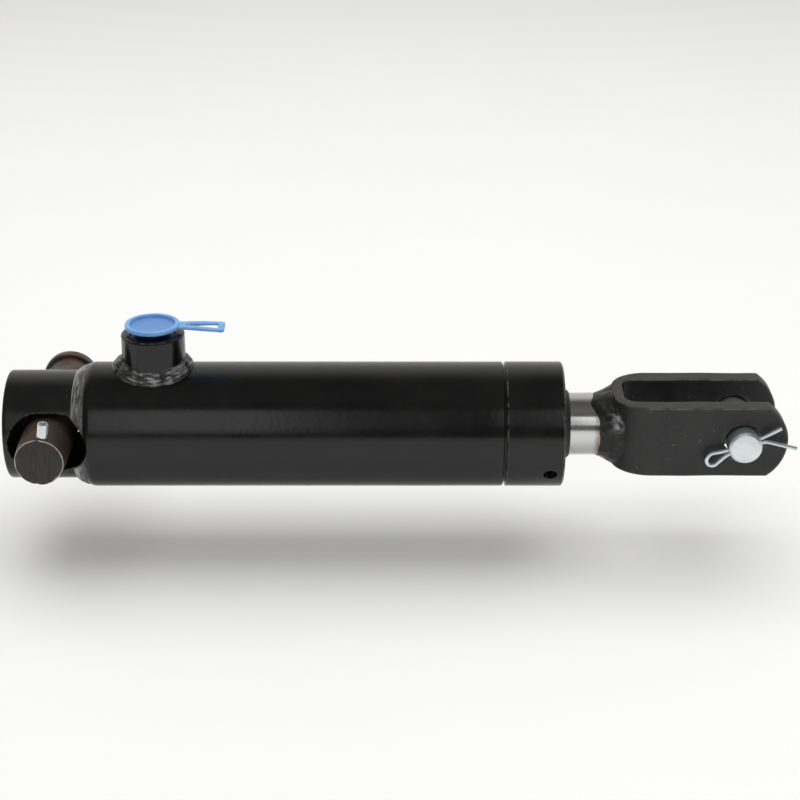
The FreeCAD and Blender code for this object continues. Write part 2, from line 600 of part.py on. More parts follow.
def make_cotter_pin():
    """Split pin of round wire: an eye on one side, two legs bent apart on the other."""
    wire = size("cotter_wire_radius")
    beside = wire + 0.05
    reach = size("clevis_pin_od") / 2 + 1.4
    points = [Vector(reach + 9.4, 0, 2.3), Vector(reach, 0, beside), Vector(-reach, 0, beside),
              Vector(-reach - 7.6, 0, 2.4), Vector(-reach - 10.6, 0, -1.0), Vector(-reach - 8.2, 0, -4.6),
              Vector(-reach, 0, -beside), Vector(reach, 0, -beside), Vector(reach + 12.7, 0, -10.4)]
    path = smooth_wire(points)
    section = Part.Wire(Part.makeCircle(wire, points[0], points[1] - points[0]))
    cotter = doc.addObject("Part::Feature", "cotter_pin")
    cotter.Label = "cotter_pin"
    cotter.Shape = path.makePipeShell([section], True, False)
    if abs(cotter.Shape.Volume / (math.pi * wire ** 2 * path.Length) - 1) > 0.02:
        raise ValueError("the cotter pin's sweep has the wrong volume")
    cotter.Placement = Placement(Vector(size("clevis_pin_place"), size("cotter_place"), 0),
                                 Rotation(Vector(0, 1, 0), -size("cotter_angle")))
    return cotter


# ---------------------------------------------------------------- base pin and roll pin
def make_base_pin():
    """A headed pin; its front stretch is a little slimmer and takes the roll pin."""
    lead_end = "Dims.base_pin_front + Dims.base_lead_length"
    body = lathe("base_pin", [
        ("Dims.base_pin_front", "0"),
        ("Dims.base_pin_front", "Dims.base_lead_od / 2 - Dims.pin_chamfer"),
        ("Dims.base_pin_front + Dims.pin_chamfer", "Dims.base_lead_od / 2"),
        (lead_end, "Dims.base_lead_od / 2"),
        (lead_end, "Dims.base_pin_od / 2"),
        ("Dims.base_head_left", "Dims.base_pin_od / 2"),
        ("Dims.base_head_left", "Dims.base_head_od / 2 - 0.4"),
        ("Dims.base_head_left + 0.4", "Dims.base_head_od / 2"),
        ("Dims.base_head_right - Dims.base_head_round", "Dims.base_head_od / 2"),
        ("Dims.base_head_right - Dims.base_head_round * 0.3",
         "Dims.base_head_od / 2 - Dims.base_head_round * 0.3"),
        ("Dims.base_head_right", "Dims.base_head_od / 2 - Dims.base_head_round"),
        ("Dims.base_head_right", "0"),
    ], "YZ_Plane", "H_Axis")
    body.Label = "base_pin_blank"
    lean = Rotation(Vector(0, 1, 0), size("roll_pin_lean"))
    start = lean.multVec(Vector(0, 0, -size("base_pin_od"))) + Vector(0, size("roll_pin_place"), 0)
    hole = primitive("Part::Cylinder", "roll_pin_hole", Placement(start, lean),
                     Radius="Dims.roll_pin_od / 2 + Dims.roll_pin_fit", Height="Dims.base_pin_od * 2")
    return boolean("Part::Cut", "base_pin", body, hole)


def make_roll_pin():
    """A slit spring sleeve standing out of the pin's top."""
    lean = Rotation(Vector(0, 1, 0), size("roll_pin_lean"))
    middle = Vector(0, size("roll_pin_place"), 0)
    place = Placement(middle + lean.multVec(Vector(0, 0, size("roll_pin_bottom"))), lean)
    length = "Dims.roll_pin_top - Dims.roll_pin_bottom"
    outside = primitive("Part::Cylinder", "roll_pin_outside", place, Radius="Dims.roll_pin_od / 2", Height=length)
    inside = primitive("Part::Cylinder", "roll_pin_inside", place,
                       Radius="Dims.roll_pin_od / 2 - Dims.roll_pin_wall", Height=length)
    sleeve = boolean("Part::Cut", "roll_pin_sleeve", outside, inside)
    corner = Vector(0, -size("roll_pin_slit") / 2, size("roll_pin_bottom"))
    slit = primitive("Part::Box", "roll_pin_slit", Placement(middle + lean.multVec(corner), lean),
                     Length="Dims.roll_pin_od", Width="Dims.roll_pin_slit", Height=length)
    return boolean("Part::Cut", "base_roll_pin", sleeve, slit)


# ---------------------------------------------------------------- the assembly
boss, tube_envelope = make_port_boss()
keep(make_base_cap(), make_barrel_tube(), make_base_weld())
keep(boss, make_port_weld(tube_envelope), make_port_plug())
keep(make_gland_head(), *make_gland_seals())
keep(make_piston_rod(), make_rod_guide(), make_guide_ring(), make_lock_nut())
clevis_body = make_clevis()
keep(clevis_body, make_rod_weld(clevis_body), make_clevis_pin(), make_cotter_pin())
keep(make_base_pin(), make_roll_pin())

doc.recompute()
for item in doc.Objects:
    if "Invalid" in item.State or "Error" in item.State:
        raise ValueError(f"{item.Label} failed: {item.State}")
    if item.TypeId == "Sketcher::SketchObject" and (item.solve() != 0 or not item.FullyConstrained):
        raise ValueError(f"{item.Label} isn't fully constrained")

os.makedirs("parts", exist_ok=True)
for piece in finished:
    shape = piece.Shape
    if shape.isNull() or not shape.isValid() or len(shape.Solids) < 1:
        raise ValueError(f"{piece.Label} has no valid solid")
    shape.exportStep(f"parts/{piece.Label}.step")
    box = shape.BoundBox
    print(f"{piece.Label:20s} solids {len(shape.Solids)} volume {shape.Volume:10.1f}"
          f"  x {box.XMin:7.1f} {box.XMax:7.1f}  y {box.YMin:6.1f} {box.YMax:6.1f}"
          f"  z {box.ZMin:6.1f} {box.ZMax:6.1f}")
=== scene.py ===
import math

import bmesh
import bpy
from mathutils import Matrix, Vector, noise


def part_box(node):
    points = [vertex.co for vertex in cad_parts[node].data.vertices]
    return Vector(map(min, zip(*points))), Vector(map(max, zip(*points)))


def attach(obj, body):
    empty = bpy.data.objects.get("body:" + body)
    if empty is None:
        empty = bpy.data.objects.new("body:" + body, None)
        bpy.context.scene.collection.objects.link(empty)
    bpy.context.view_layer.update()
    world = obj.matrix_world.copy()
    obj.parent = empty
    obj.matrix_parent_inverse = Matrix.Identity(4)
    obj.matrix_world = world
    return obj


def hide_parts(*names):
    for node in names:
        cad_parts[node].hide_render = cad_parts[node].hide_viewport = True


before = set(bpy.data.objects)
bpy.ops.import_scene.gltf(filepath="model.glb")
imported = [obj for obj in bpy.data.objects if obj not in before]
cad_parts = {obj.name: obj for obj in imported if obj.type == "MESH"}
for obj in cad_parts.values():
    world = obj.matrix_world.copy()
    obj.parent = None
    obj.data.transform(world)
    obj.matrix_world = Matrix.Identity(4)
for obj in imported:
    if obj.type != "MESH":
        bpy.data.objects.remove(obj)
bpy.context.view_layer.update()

MM = 0.001
TAU = 2 * math.pi


def low(node, axis):
    """Lowest coordinate of a CAD node, in millimetres."""
    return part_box(node)[0][axis] / MM


def high(node, axis):
    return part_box(node)[1][axis] / MM


# ------------------------------------------------------------------ sizes, all in millimetres
TUBE_R = high("barrel_tube", 1)
TUBE_BORE_R = 25.0
TUBE_LEFT, TUBE_RIGHT = low("barrel_tube", 0), high("barrel_tube", 0)
BEVEL_LENGTH, BEVEL_R = 7.0, 26.2
EYE_R = high("base_cap", 1)
EYE_LEFT, PLUG_END = low("base_cap", 0), high("base_cap", 0)
EYE_RIGHT = 12.8
SLOT_LEFT, SLOT_RIGHT, SLOT_HALF = -17.6, 19.5, 14.3
WELD_LEFT, WELD_RIGHT = low("base_weld_bead", 0), high("base_weld_bead", 0)
PORT_X = (low("port_boss", 0) + high("port_boss", 0)) / 2
BOSS_R = high("port_boss", 1)
BOSS_TOP = high("port_boss", 2)
PLUG_TOP = high("port_cap", 2)
PLUG_UNDER = PLUG_TOP - 2.1
PLUG_MOUTH_R = 10.7
GLAND_RIGHT = high("gland_head", 0)
WIPER_NOSE = high("rod_wiper", 0)
ROD_R = high("piston_rod", 1)
CLEVIS_LEFT, CLEVIS_RIGHT = low("clevis", 0), high("clevis", 0)
CLEVIS_HALF_WIDTH = high("clevis", 1)
CLEVIS_HALF_HEIGHT = high("clevis", 2)
EAR_R = 21.0
EAR_X = CLEVIS_RIGHT - EAR_R
BAR, WEB = 9.0, 5.6
BEND_OUTER, BEND_INNER = 18.5, 6.0
PIN_FRONT, PIN_REAR = low("base_pin", 1), high("base_pin", 1)
COTTER_Y = (low("cotter_pin", 1) + high("cotter_pin", 1)) / 2
COTTER_TILT = math.radians(22.0)
ROLL_PIN_LEAN = math.radians(8.0)
ROLL_PIN_Y = -39.5
LIP_WEAR = 0.22   # how far the cross slot's lips are rubbed bright


# ------------------------------------------------------------------ mesh helpers
def soften(points, radius, steps=5, closed=False):
    """Rounds the corners of a profile. A point may carry its own radius as a third number."""
    count = len(points)
    out = []
    for i, point in enumerate(points):
        here = Vector(point[:2])
        own = point[2] if len(point) > 2 else radius
        at_end = not closed and i in (0, count - 1)
        if own <= 0 or at_end:
            out.append(here)
            continue
        back = Vector(points[i - 1][:2]) - here
        ahead = Vector(points[(i + 1) % count][:2]) - here
        if back.length < 1e-6 or ahead.length < 1e-6:
            out.append(here)
            continue
        angle = back.angle(ahead)
        if abs(angle - math.pi) < 0.02:
            out.append(here)
            continue
        cut = min(own / math.tan(angle / 2), back.length * 0.48, ahead.length * 0.48)
        start, end = here + back.normalized() * cut, here + ahead.normalized() * cut
        for k in range(steps + 1):
            t = k / steps
            out.append(start * (1 - t) ** 2 + here * 2 * t * (1 - t) + end * t ** 2)
    return [(p[0], p[1]) for p in out]


def place(axis, at, along, across, up):
    """A point given along a turning axis and in the two directions across it."""
    if axis == "X":
        return (at[0] + along, at[1] + across, at[2] + up)
    if axis == "Y":
        return (at[0] + across, at[1] + along, at[2] + up)
    return (at[0] + across, at[1] + up, at[2] + along)


def new_object(name, data):
    made = bpy.data.objects.new(name, data)
    bpy.context.scene.collection.objects.link(made)
    return made


class Shell:
    """Collects grids of points in millimetres and turns them into one object.

    A point may carry its wear, from 0 to 1, as a fourth number.
    """

    def __init__(self):
        self.verts, self.faces, self.wear = [], [], []

    def take(self, points):
        """Adds points and gives the number of the first."""
        first = len(self.verts)
        self.verts += [p[:3] for p in points]
        self.wear += [p[3] if len(p) > 3 else 0.0 for p in points]
        return first

    def grid(self, rows, wrap_rows=False, wrap_columns=False, skip=None):
        """Quads between neighbouring rows of points; all rows have the same length."""
        firsts = [self.take(row) for row in rows]
        wide = len(rows[0])
        for i in range(len(rows) if wrap_rows else len(rows) - 1):
            here, following = firsts[i], firsts[(i + 1) % len(rows)]
            for j in range(wide if wrap_columns else wide - 1):
                if skip is None or not skip(i, j):
                    ahead = (j + 1) % wide
                    self.faces.append((here + j, here + ahead, following + ahead, following + j))

    def fan(self, ring):
        """One flat face over a ring of points."""
        first = self.take([p[:3] for p in ring])
        self.faces.append(tuple(range(first, first + len(ring))))

    def build(self, name, material, body, slot, stands_for=(), sharp=32.0, merge=0.004):
        mesh = bpy.data.meshes.new(name)
        mesh.from_pydata([Vector(v) * MM for v in self.verts], [], self.faces)
        wear = mesh.attributes.new("wear", "FLOAT", "POINT")
        wear.data.foreach_set("value", self.wear)
        sheet = bmesh.new()
        sheet.from_mesh(mesh)
        bmesh.ops.remove_doubles(sheet, verts=sheet.verts, dist=merge * MM)
        bmesh.ops.dissolve_degenerate(sheet, edges=sheet.edges, dist=merge * MM * 0.2)
        loose = [v for v in sheet.verts if not v.link_faces]
        bmesh.ops.delete(sheet, geom=loose, context="VERTS")
        bmesh.ops.recalc_face_normals(sheet, faces=sheet.faces)
        sheet.to_mesh(mesh)
        sheet.free()
        for face in mesh.polygons:
            face.use_smooth = True
        mesh.set_sharp_from_angle(angle=math.radians(sharp))
        piece = new_object(name, mesh)
        mesh.materials.append(material)
        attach(piece, body)
        if stands_for:
            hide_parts(*stands_for)
        return piece


def lathe(profile, axis="X", at=(0, 0, 0), segments=160, shift=None, wear=None, closed=False):
    """A turned shell. shift(along, radius, angle) may move each point; wear(along, radius) marks edges."""
    rows = []
    for k in range(segments):
        angle = TAU * k / segments
        row = []
        for along, radius in profile:
            mark = wear(along, radius) if wear else 0.0
            if shift and radius > 1e-6:
                along, radius = shift(along, radius, angle)
            row.append(place(axis, at, along, radius * math.cos(angle), radius * math.sin(angle)) + (mark,))
        rows.append(row)
    shell = Shell()
    shell.grid(rows, wrap_rows=True, wrap_columns=closed)
    return shell


def rough(point, scale, seed=0.0):
    """Smooth noise from -1 to 1 at a place in millimetres."""
    return noise.noise(Vector(point) * (1.0 / scale) + Vector((seed, seed * 1.7, -seed)))


def rough_ring(radius, angle, along, scale, seed):
    """The same on a ring round the cylinder's axis."""
    return rough((along, radius * math.cos(angle), radius * math.sin(angle)), scale, seed)


def share(value):
    """value kept between 0 and 1."""
    return max(0.0, min(1.0, value))


# ------------------------------------------------------------------ materials
class Tree:
    """Short ways to add and join the nodes of a node tree."""

    def __init__(self, owner, place_output):
        owner.use_nodes = True
        self.tree = owner.node_tree
        self.tree.nodes.clear()
        self.where = self.add("ShaderNodeTexCoord", {}, place_output)

    def put(self, socket, value):
        """Joins another node's output to a socket, or sets the socket's own value."""
        if hasattr(value, "is_linked"):
            self.tree.links.new(value, socket)
        else:
            socket.default_value = value

    def add(self, kind, inputs, output=0, **settings):
        node = self.tree.nodes.new(kind)
        for name, value in settings.items():
            setattr(node, name, value)
        for name, value in inputs.items():
            self.put(node.inputs[name], value)
        return node.outputs[output] if node.outputs else node

    def math(self, operation, a, b=0.0):
        return self.add("ShaderNodeMath", {0: a, 1: b}, operation=operation)

    def axis(self, name):
        return self.add("ShaderNodeSeparateXYZ", {"Vector": self.where}, output="XYZ".index(name))


class Graph(Tree):
    """A material made of nodes round one principled shader."""

    def __init__(self, name):
        self.material = bpy.data.materials.new(name)
        super().__init__(self.material, "Object")
        self.shader = self.tree.nodes.new("ShaderNodeBsdfPrincipled")
        self.add("ShaderNodeOutputMaterial", {"Surface": self.shader.outputs[0]})

    def set(self, name, value):
        self.put(self.shader.inputs[name], value)

    def noise(self, scale, detail=4.0, roughness=0.55, vector=None):
        return self.add("ShaderNodeTexNoise", {"Vector": vector or self.where, "Scale": scale,
                                               "Detail": detail, "Roughness": roughness})

    def streaks(self, scale, detail=3.0, roughness=0.65):
        """Noise drawn out along the axis with the smallest scale."""
        stretched = self.add("ShaderNodeMapping", {"Vector": self.where, "Scale": scale})
        return self.noise(1.0, detail, roughness, stretched)

    def band(self, value, from_low, from_high, to_low=0.0, to_high=1.0, smooth=True):
        """value's stretch from_low..from_high brought to to_low..to_high, clamped."""
        return self.add("ShaderNodeMapRange", {"Value": value, "From Min": from_low, "From Max": from_high,
                                               "To Min": to_low, "To Max": to_high},
                        interpolation_type="SMOOTHSTEP" if smooth else "LINEAR")

    def times(self, a, b):
        return self.math("MULTIPLY", a, b)

    def mix(self, factor, first, second):
        return self.add("ShaderNodeMix", {0: factor, 6: first, 7: second}, output=2, data_type="RGBA")

    def over(self, colour, mask, strength, tint):
        """tint laid over colour where mask is 1, at the given strength."""
        return self.mix(self.times(mask, strength), colour, tint)

    def worn(self):
        return self.add("ShaderNodeAttribute", {}, output=2, attribute_name="wear")

    def from_port(self):
        """Distance from the oil port's axis."""
        x, y = self.math("SUBTRACT", self.axis("X"), PORT_X * MM), self.axis("Y")
        return self.math("SQRT", self.math("ADD", self.times(x, x), self.times(y, y)))

    def in_slot(self, depth, right):
        """1 on the cross slot's walls: closer to the cylinder's axis than depth, between the slot's ends."""
        x, y, z = self.axis("X"), self.axis("Y"), self.axis("Z")
        across = self.math("ADD", self.times(y, y), self.times(z, z))
        deep = self.band(across, (depth * MM) ** 2, ((depth - 0.5) * MM) ** 2)
        from_left = self.band(x, (SLOT_LEFT - 1.0) * MM, (SLOT_LEFT - 0.5) * MM)
        to_right = self.band(x, right * MM, (right - 0.5) * MM)
        return self.times(deep, self.times(from_left, to_right))

    def bump(self, height, distance, strength=1.0, under=None):
        inputs = {"Height": height, "Distance": distance, "Strength": strength}
        if under is not None:
            inputs["Normal"] = under
        return self.add("ShaderNodeBump", inputs)


def grey(value, warm=0.0):
    return (value * (1 + warm), value, value * (1 - warm), 1.0)


def black_paint(name, base=0.004, gloss=0.13, worn_colour=0.16, depth=29.0, right=24.0):
    """Black enamel with faint orange peel, cloudy gloss, pale rubbed edges and fine scratches.

    The walls of the cross slot, deeper than depth and left of right, carry painted shade: they are dull,
    nearly black and almost unreflective.
    """
    g = Graph(name)
    # painted shade: this mask marks the cross slot's walls, which are coloured nearly black and made dull and
    # unreflective
    bare_weld_and_slot_shade = g.in_slot(depth, right)
    cloud = g.noise(38.0, 6.0, 0.6)
    fine = g.noise(900.0, 3.0)
    colour = g.mix(g.band(cloud, 0.35, 0.7), grey(base), grey(base * 1.7, 0.04))
    specks = g.band(g.noise(1500.0, 2.0, 0.5), 0.735, 0.78)
    colour = g.over(colour, specks, 0.25, grey(0.16))
    rub = g.times(g.worn(), g.band(g.noise(330.0, 5.0, 0.7), 0.42, 0.62))
    colour = g.mix(rub, colour, grey(worn_colour, 0.02))
    lines = g.streaks((35.0, 900.0, 900.0), 3.0, 0.7)
    scratch = g.band(lines, 0.71, 0.76)
    colour = g.over(colour, scratch, 0.2, grey(0.07))
    # painted shade: nearly black on the slot's walls
    g.set("Base Color", g.mix(bare_weld_and_slot_shade, colour, grey(0.002)))
    sheen = g.math("ADD", g.band(cloud, 0.3, 0.75, gloss, gloss + 0.07), g.times(fine, 0.06))
    g.set("Roughness", g.math("MAXIMUM", sheen, g.times(bare_weld_and_slot_shade, 0.8)))
    g.set("Specular IOR Level", g.band(bare_weld_and_slot_shade, 0.0, 1.0, 0.42, 0.02))
    peel = g.bump(g.noise(420.0, 2.0, 0.4), 0.00004)
    g.set("Normal", g.bump(g.times(scratch, -1.0), 0.00003, 0.6, peel))
    return g.material


def forged_paint():
    """Thin satin paint over a hot-rolled, bent bar: scale pits, scratches and bright rubbed edges."""
    g = Graph("clevis_paint")
    cloud = g.noise(55.0, 7.0, 0.65)
    pits = g.noise(700.0, 5.0, 0.65)
    colour = g.mix(g.band(cloud, 0.35, 0.68), grey(0.015), grey(0.030, 0.02))
    scuffs = g.band(g.streaks((90.0, 500.0, 200.0), 5.0, 0.75), 0.62, 0.72)
    colour = g.over(colour, scuffs, 0.4, grey(0.09))
    flecks = g.band(g.noise(420.0, 2.0, 0.5), 0.70, 0.74)
    colour = g.over(colour, flecks, 0.5, grey(0.14))
    rub = g.times(g.worn(), g.band(g.noise(160.0, 6.0, 0.7), 0.30, 0.60))
    colour = g.over(colour, rub, 0.8, grey(0.15, 0.02))
    g.set("Base Color", colour)
    g.set("Roughness", g.band(cloud, 0.3, 0.7, 0.38, 0.56))
    g.set("Metallic", 0.15)
    rolled = g.bump(g.noise(120.0, 4.0, 0.6), 0.00030, 0.7)
    g.set("Normal", g.bump(pits, 0.00007, 0.8, rolled))
    return g.material


def painted_weld(name, tint=0.05, bare_share=0.45):
    """Thinly painted weld metal that shines through where it stands out."""
    g = Graph(name)
    lumps = g.noise(260.0, 6.0, 0.7)
    colour = g.mix(g.band(lumps, 0.35, 0.7), grey(tint * 0.45), grey(tint * 1.3, 0.03))
    bare_weld_and_slot_shade = g.band(g.noise(170.0, 5.0, 0.7), 0.56, 0.68)
    colour = g.over(colour, bare_weld_and_slot_shade, bare_share, grey(0.24, 0.02))
    colour = g.over(colour, g.worn(), 0.8, grey(0.46))
    g.set("Base Color", colour)
    g.set("Metallic", 0.45)
    g.set("Roughness", g.band(lumps, 0.3, 0.7, 0.24, 0.46))
    g.set("Normal", g.bump(g.noise(900.0, 4.0, 0.6), 0.00005, 0.8, g.bump(lumps, 0.0002, 0.6)))
    return g.material


def chromed_rod():
    """Ground and polished hard chrome, with the brown heat tint beside the clevis weld."""
    g = Graph("rod_chrome")
    rings = g.streaks((2600.0, 60.0, 60.0), 3.0, 0.6)
    heat = g.band(g.axis("X"), (CLEVIS_LEFT - 9.4) * MM, (CLEVIS_LEFT - 6.7) * MM)
    blotch = g.times(heat, g.band(g.noise(140.0, 5.0, 0.6), 0.30, 0.50))
    colour = g.mix(g.times(blotch, 0.75), grey(0.62), (0.20, 0.125, 0.075, 1.0))
    g.set("Base Color", colour)
    g.set("Metallic", 1.0)
    g.set("Roughness", g.band(rings, 0.3, 0.7, 0.13, 0.22))
    g.set("Normal", g.bump(rings, 0.000006, 0.5))
    return g.material


def turned_steel(name, colour_a, colour_b, rough_low=0.28, rough_high=0.42, across=(60.0, 2200.0, 60.0),
                 edge=0.75):
    """Lathe-turned steel: fine rings, a cloudy tint and bright worn edges."""
    g = Graph(name)
    rings = g.streaks(across, 3.0, 0.65)
    cloud = g.noise(95.0, 6.0, 0.65)
    colour = g.mix(g.band(cloud, 0.38, 0.64), colour_a, colour_b)
    colour = g.mix(g.worn(), colour, grey(edge, 0.03))
    g.set("Base Color", colour)
    g.set("Metallic", 0.9)
    dullness = g.math("ADD", rings, g.times(cloud, 0.4))
    g.set("Roughness", g.band(dullness, 0.45, 0.95, rough_low, rough_high))
    g.set("Normal", g.bump(rings, 0.00002, 0.6, g.bump(g.noise(500.0, 4.0), 0.00003, 0.5)))
    return g.material


def base_pin_steel():
    """Copper-brown sides; the sawn front face is dull dark grey inside a bright rubbed rim."""
    g = Graph("base_pin_steel")
    cloud = g.noise(80.0, 6.0, 0.65)
    rings = g.streaks((60.0, 2400.0, 60.0), 3.0, 0.65)
    side = g.mix(g.band(cloud, 0.36, 0.64), (0.110, 0.062, 0.044, 1.0), (0.055, 0.045, 0.038, 1.0))
    face = g.band(g.axis("Y"), (PIN_FRONT + 0.35) * MM, (PIN_FRONT + 0.05) * MM)
    saw = g.streaks((1300.0, 60.0, 140.0), 4.0, 0.7)
    dull = g.mix(g.band(saw, 0.35, 0.7), (0.030, 0.029, 0.026, 1.0), (0.050, 0.048, 0.044, 1.0))
    colour = g.mix(face, side, dull)
    rim = g.times(g.worn(), g.band(g.noise(260.0, 4.0, 0.6), 0.36, 0.54))
    colour = g.mix(rim, colour, (0.62, 0.60, 0.57, 1.0))
    g.set("Base Color", colour)
    g.set("Metallic", 0.5)
    g.set("Roughness", g.band(cloud, 0.3, 0.7, 0.34, 0.50))
    g.set("Normal", g.bump(g.math("ADD", rings, saw), 0.00002, 0.7))
    return g.material


def soft_plastic():
    """Soft, milky, light-blue plastic, with painted shade: a darker blue in the top recess and near-black on
    the neck and shank below the flange.
    """
    g = Graph("cap_plastic")
    cloud = g.noise(160.0, 4.0, 0.6)
    colour = g.mix(g.band(cloud, 0.3, 0.7), (0.14, 0.33, 0.62, 1.0), (0.20, 0.41, 0.70, 1.0))
    # painted shade: the recess floor and its lower wall are coloured a darker blue
    recess = g.band(g.axis("Z"), (PLUG_TOP - 0.9) * MM, (PLUG_TOP - 1.3) * MM)
    in_middle = g.band(g.from_port(), PLUG_MOUTH_R * MM, (PLUG_MOUTH_R - 0.5) * MM)
    colour = g.over(colour, recess, in_middle, (0.12, 0.25, 0.56, 1.0))
    # painted shade: below the flange and within its radius, the plastic is coloured near-black
    painted_shank_shade = g.band(g.axis("Z"), (PLUG_UNDER + 0.1) * MM, (PLUG_UNDER - 0.2) * MM)
    near_port = g.band(g.from_port(), 13.0 * MM, 12.5 * MM)
    g.set("Base Color", g.mix(g.times(painted_shank_shade, near_port), colour, (0.006, 0.010, 0.025, 1.0)))
    g.set("Roughness", g.band(g.noise(700.0, 3.0), 0.3, 0.7, 0.30, 0.42))
    g.set("Subsurface Weight", 0.35)
    g.set("Subsurface Radius", (0.002, 0.004, 0.008))
    g.set("Subsurface Scale", 0.6)
    g.set("IOR", 1.46)
    g.set("Normal", g.bump(g.noise(1100.0, 3.0), 0.00002, 0.6))
    return g.material


def plain_part(name, colour, roughness, metallic=0.0, grain=600.0):
    """Inner parts: a faint grain in colour and gloss."""
    g = Graph(name)
    cloud = g.noise(grain, 4.0, 0.6)
    dark = tuple(c * 0.8 for c in colour[:3]) + (1.0,)
    g.set("Base Color", g.mix(g.band(cloud, 0.35, 0.65), dark, colour))
    g.set("Metallic", metallic)
    g.set("Roughness", g.band(cloud, 0.3, 0.7, roughness - 0.06, roughness + 0.06))
    g.set("Normal", g.bump(cloud, 0.00002, 0.5))
    return g.material


BARREL_PAINT = black_paint("barrel_paint")
EYE_PAINT = black_paint("eye_paint", base=0.006, gloss=0.18, worn_colour=0.25, depth=25.4, right=21.0)
CLEVIS_PAINT = forged_paint()
WELD = painted_weld("weld_paint", 0.045, 0.6)
BRIGHT_WELD = painted_weld("base_weld", 0.10)
ROD_WELD = painted_weld("rod_weld", 0.022, bare_share=0.12)
CHROME = chromed_rod()
BASE_PIN = base_pin_steel()
ZINC = turned_steel("zinc_steel", (0.66, 0.71, 0.73, 1.0), (0.78, 0.82, 0.84, 1.0), edge=0.95)
SPRING = turned_steel("roll_pin_steel", (0.72, 0.73, 0.75, 1.0), (0.86, 0.87, 0.88, 1.0), 0.2, 0.3, edge=0.95)
PLASTIC = soft_plastic()
RUBBER = plain_part("nitrile_rubber", (0.020, 0.020, 0.021, 1.0), 0.55)
INNER = plain_part("machined_steel", (0.42, 0.42, 0.43, 1.0), 0.35, 1.0)
IRON = plain_part("guide_iron", (0.20, 0.20, 0.205, 1.0), 0.5, 0.6, 300.0)
RESIN = plain_part("bearing_resin", (0.42, 0.30, 0.17, 1.0), 0.55)
WHITE_RESIN = plain_part("backup_resin", (0.80, 0.80, 0.77, 1.0), 0.45)
URETHANE = plain_part("urethane", (0.10, 0.18, 0.28, 1.0), 0.4)


# ------------------------------------------------------------------ the cross slot's outline
def slot_at(x):
    """A station on the slot's top outline: x, half height, and the outline's normal into the slot."""
    left, right = SLOT_LEFT + SLOT_HALF, SLOT_RIGHT - SLOT_HALF
    run = min(x - left, 0.0) + max(x - right, 0.0)
    half = math.sqrt(max(SLOT_HALF ** 2 - run ** 2, 0.0))
    return (x, half, -run / SLOT_HALF, half / SLOT_HALF)


def cut_stations(x_from, x_to):
    """Stations along the slot between two places, close together where its outline curves."""
    steps = 22
    turns = [math.pi / 2 * k / steps for k in range(steps + 1)]
    left, right = SLOT_LEFT + SLOT_HALF, SLOT_RIGHT - SLOT_HALF
    places = [left - SLOT_HALF * math.cos(turn) for turn in turns]
    places += [left + (right - left) * k / 4 for k in range(1, 4)]
    places += [right + SLOT_HALF * math.cos(turn) for turn in reversed(turns)]
    return [slot_at(x) for x in places if x_from + 0.05 < x < x_to - 0.05]


def plain_stations(places):
    return [(x, 0.0, 0.0, 1.0) for x in places]


def slotted(stations, outer, inner, fillet, arc_steps=70, fillet_steps=4, shine=None):
    """A round bar or tube along X with the cross slot cut through it along Y, as two halves joined at z = 0.

    stations are (x, half height of the slot, its normal's x and z); outer(x, angle) and inner(x) are radii.
    shine(x, angle) may mark bright patches on the outside.
    """
    shell = Shell()
    inner_steps = 24
    for side in (1, -1):
        rows = []
        for x, half, nx, nz in stations:
            radius = outer(x, math.pi / 2)
            on_slot = half > 0 or nx != 0
            round_edge, lip_wear = (fillet, LIP_WEAR) if on_slot else (0.0, 0.0)
            start_x = x - round_edge * nx
            start = math.asin(min(1.0, (half + round_edge * nz) / radius))
            row = []
            for k in range(arc_steps + 1):
                t = k / arc_steps
                angle = start + (math.pi - 2 * start) * t
                near = max(0.0, 1.0 - min(t, 1 - t) * 8.0)
                column_x = x + (start_x - x) * near
                r = outer(column_x, side * angle)
                mark = lip_wear if k in (0, arc_steps) else 0.0
                if shine:
                    mark = shine(column_x, side * angle)
                row.append((column_x, -r * math.cos(angle), side * r * math.sin(angle), mark))
            # round over the rear lip, cross the slot's wall and round over the front lip
            lips = []
            for direction in (1, -1):
                lip = []
                for k in range(1, fillet_steps + 1):
                    a = math.pi / 2 * k / fillet_steps
                    r = radius + round_edge * (math.cos(a) - 1.0)
                    slot_part = round_edge * math.sin(a)
                    z = side * max(r * math.sin(start) - slot_part * nz, half)
                    lip.append((start_x + slot_part * nx, direction * r * math.cos(start), z, lip_wear))
                lips.append(lip)
            row += lips[0]
            hole = inner(x)
            if hole > half:
                wall_start = math.asin(half / hole)
                for k in range(inner_steps + 1):
                    angle = wall_start + (math.pi - 2 * wall_start) * (1 - k / inner_steps)
                    row.append((x, -hole * math.cos(angle), side * hole * math.sin(angle)))
            else:
                reach = lips[0][-1][1] * 0.98
                row += [(x, reach * (1 - 2 * k / inner_steps), side * half) for k in range(inner_steps + 1)]
            row += reversed(lips[1])
            rows.append(row)
        solid = [station[1] <= 0 for station in stations]
        wide = len(rows[0])

        def internal(i, j, solid=solid, rows=rows, wide=wide):
            """Faces on the plane z = 0 inside the metal, where the two halves join."""
            if not (solid[i] and solid[i + 1]):
                return False
            corners = (rows[i][j], rows[i][(j + 1) % wide], rows[i + 1][j], rows[i + 1][(j + 1) % wide])
            return all(abs(c[2]) < 1e-6 for c in corners)

        shell.grid(rows, wrap_columns=True, skip=internal)
        for row in (rows[0], rows[-1]):
            shell.fan(row)
    return shell


def crescent(t, along, pitch, bow):
    """The ripples that a welding pass leaves: rounded crescents, one per pitch."""
    phase = along / pitch + bow * (2 * t - 1) ** 2
    return 1.0 - abs(2 * (phase - math.floor(phase)) - 1.0) ** 1.6 * 2.0


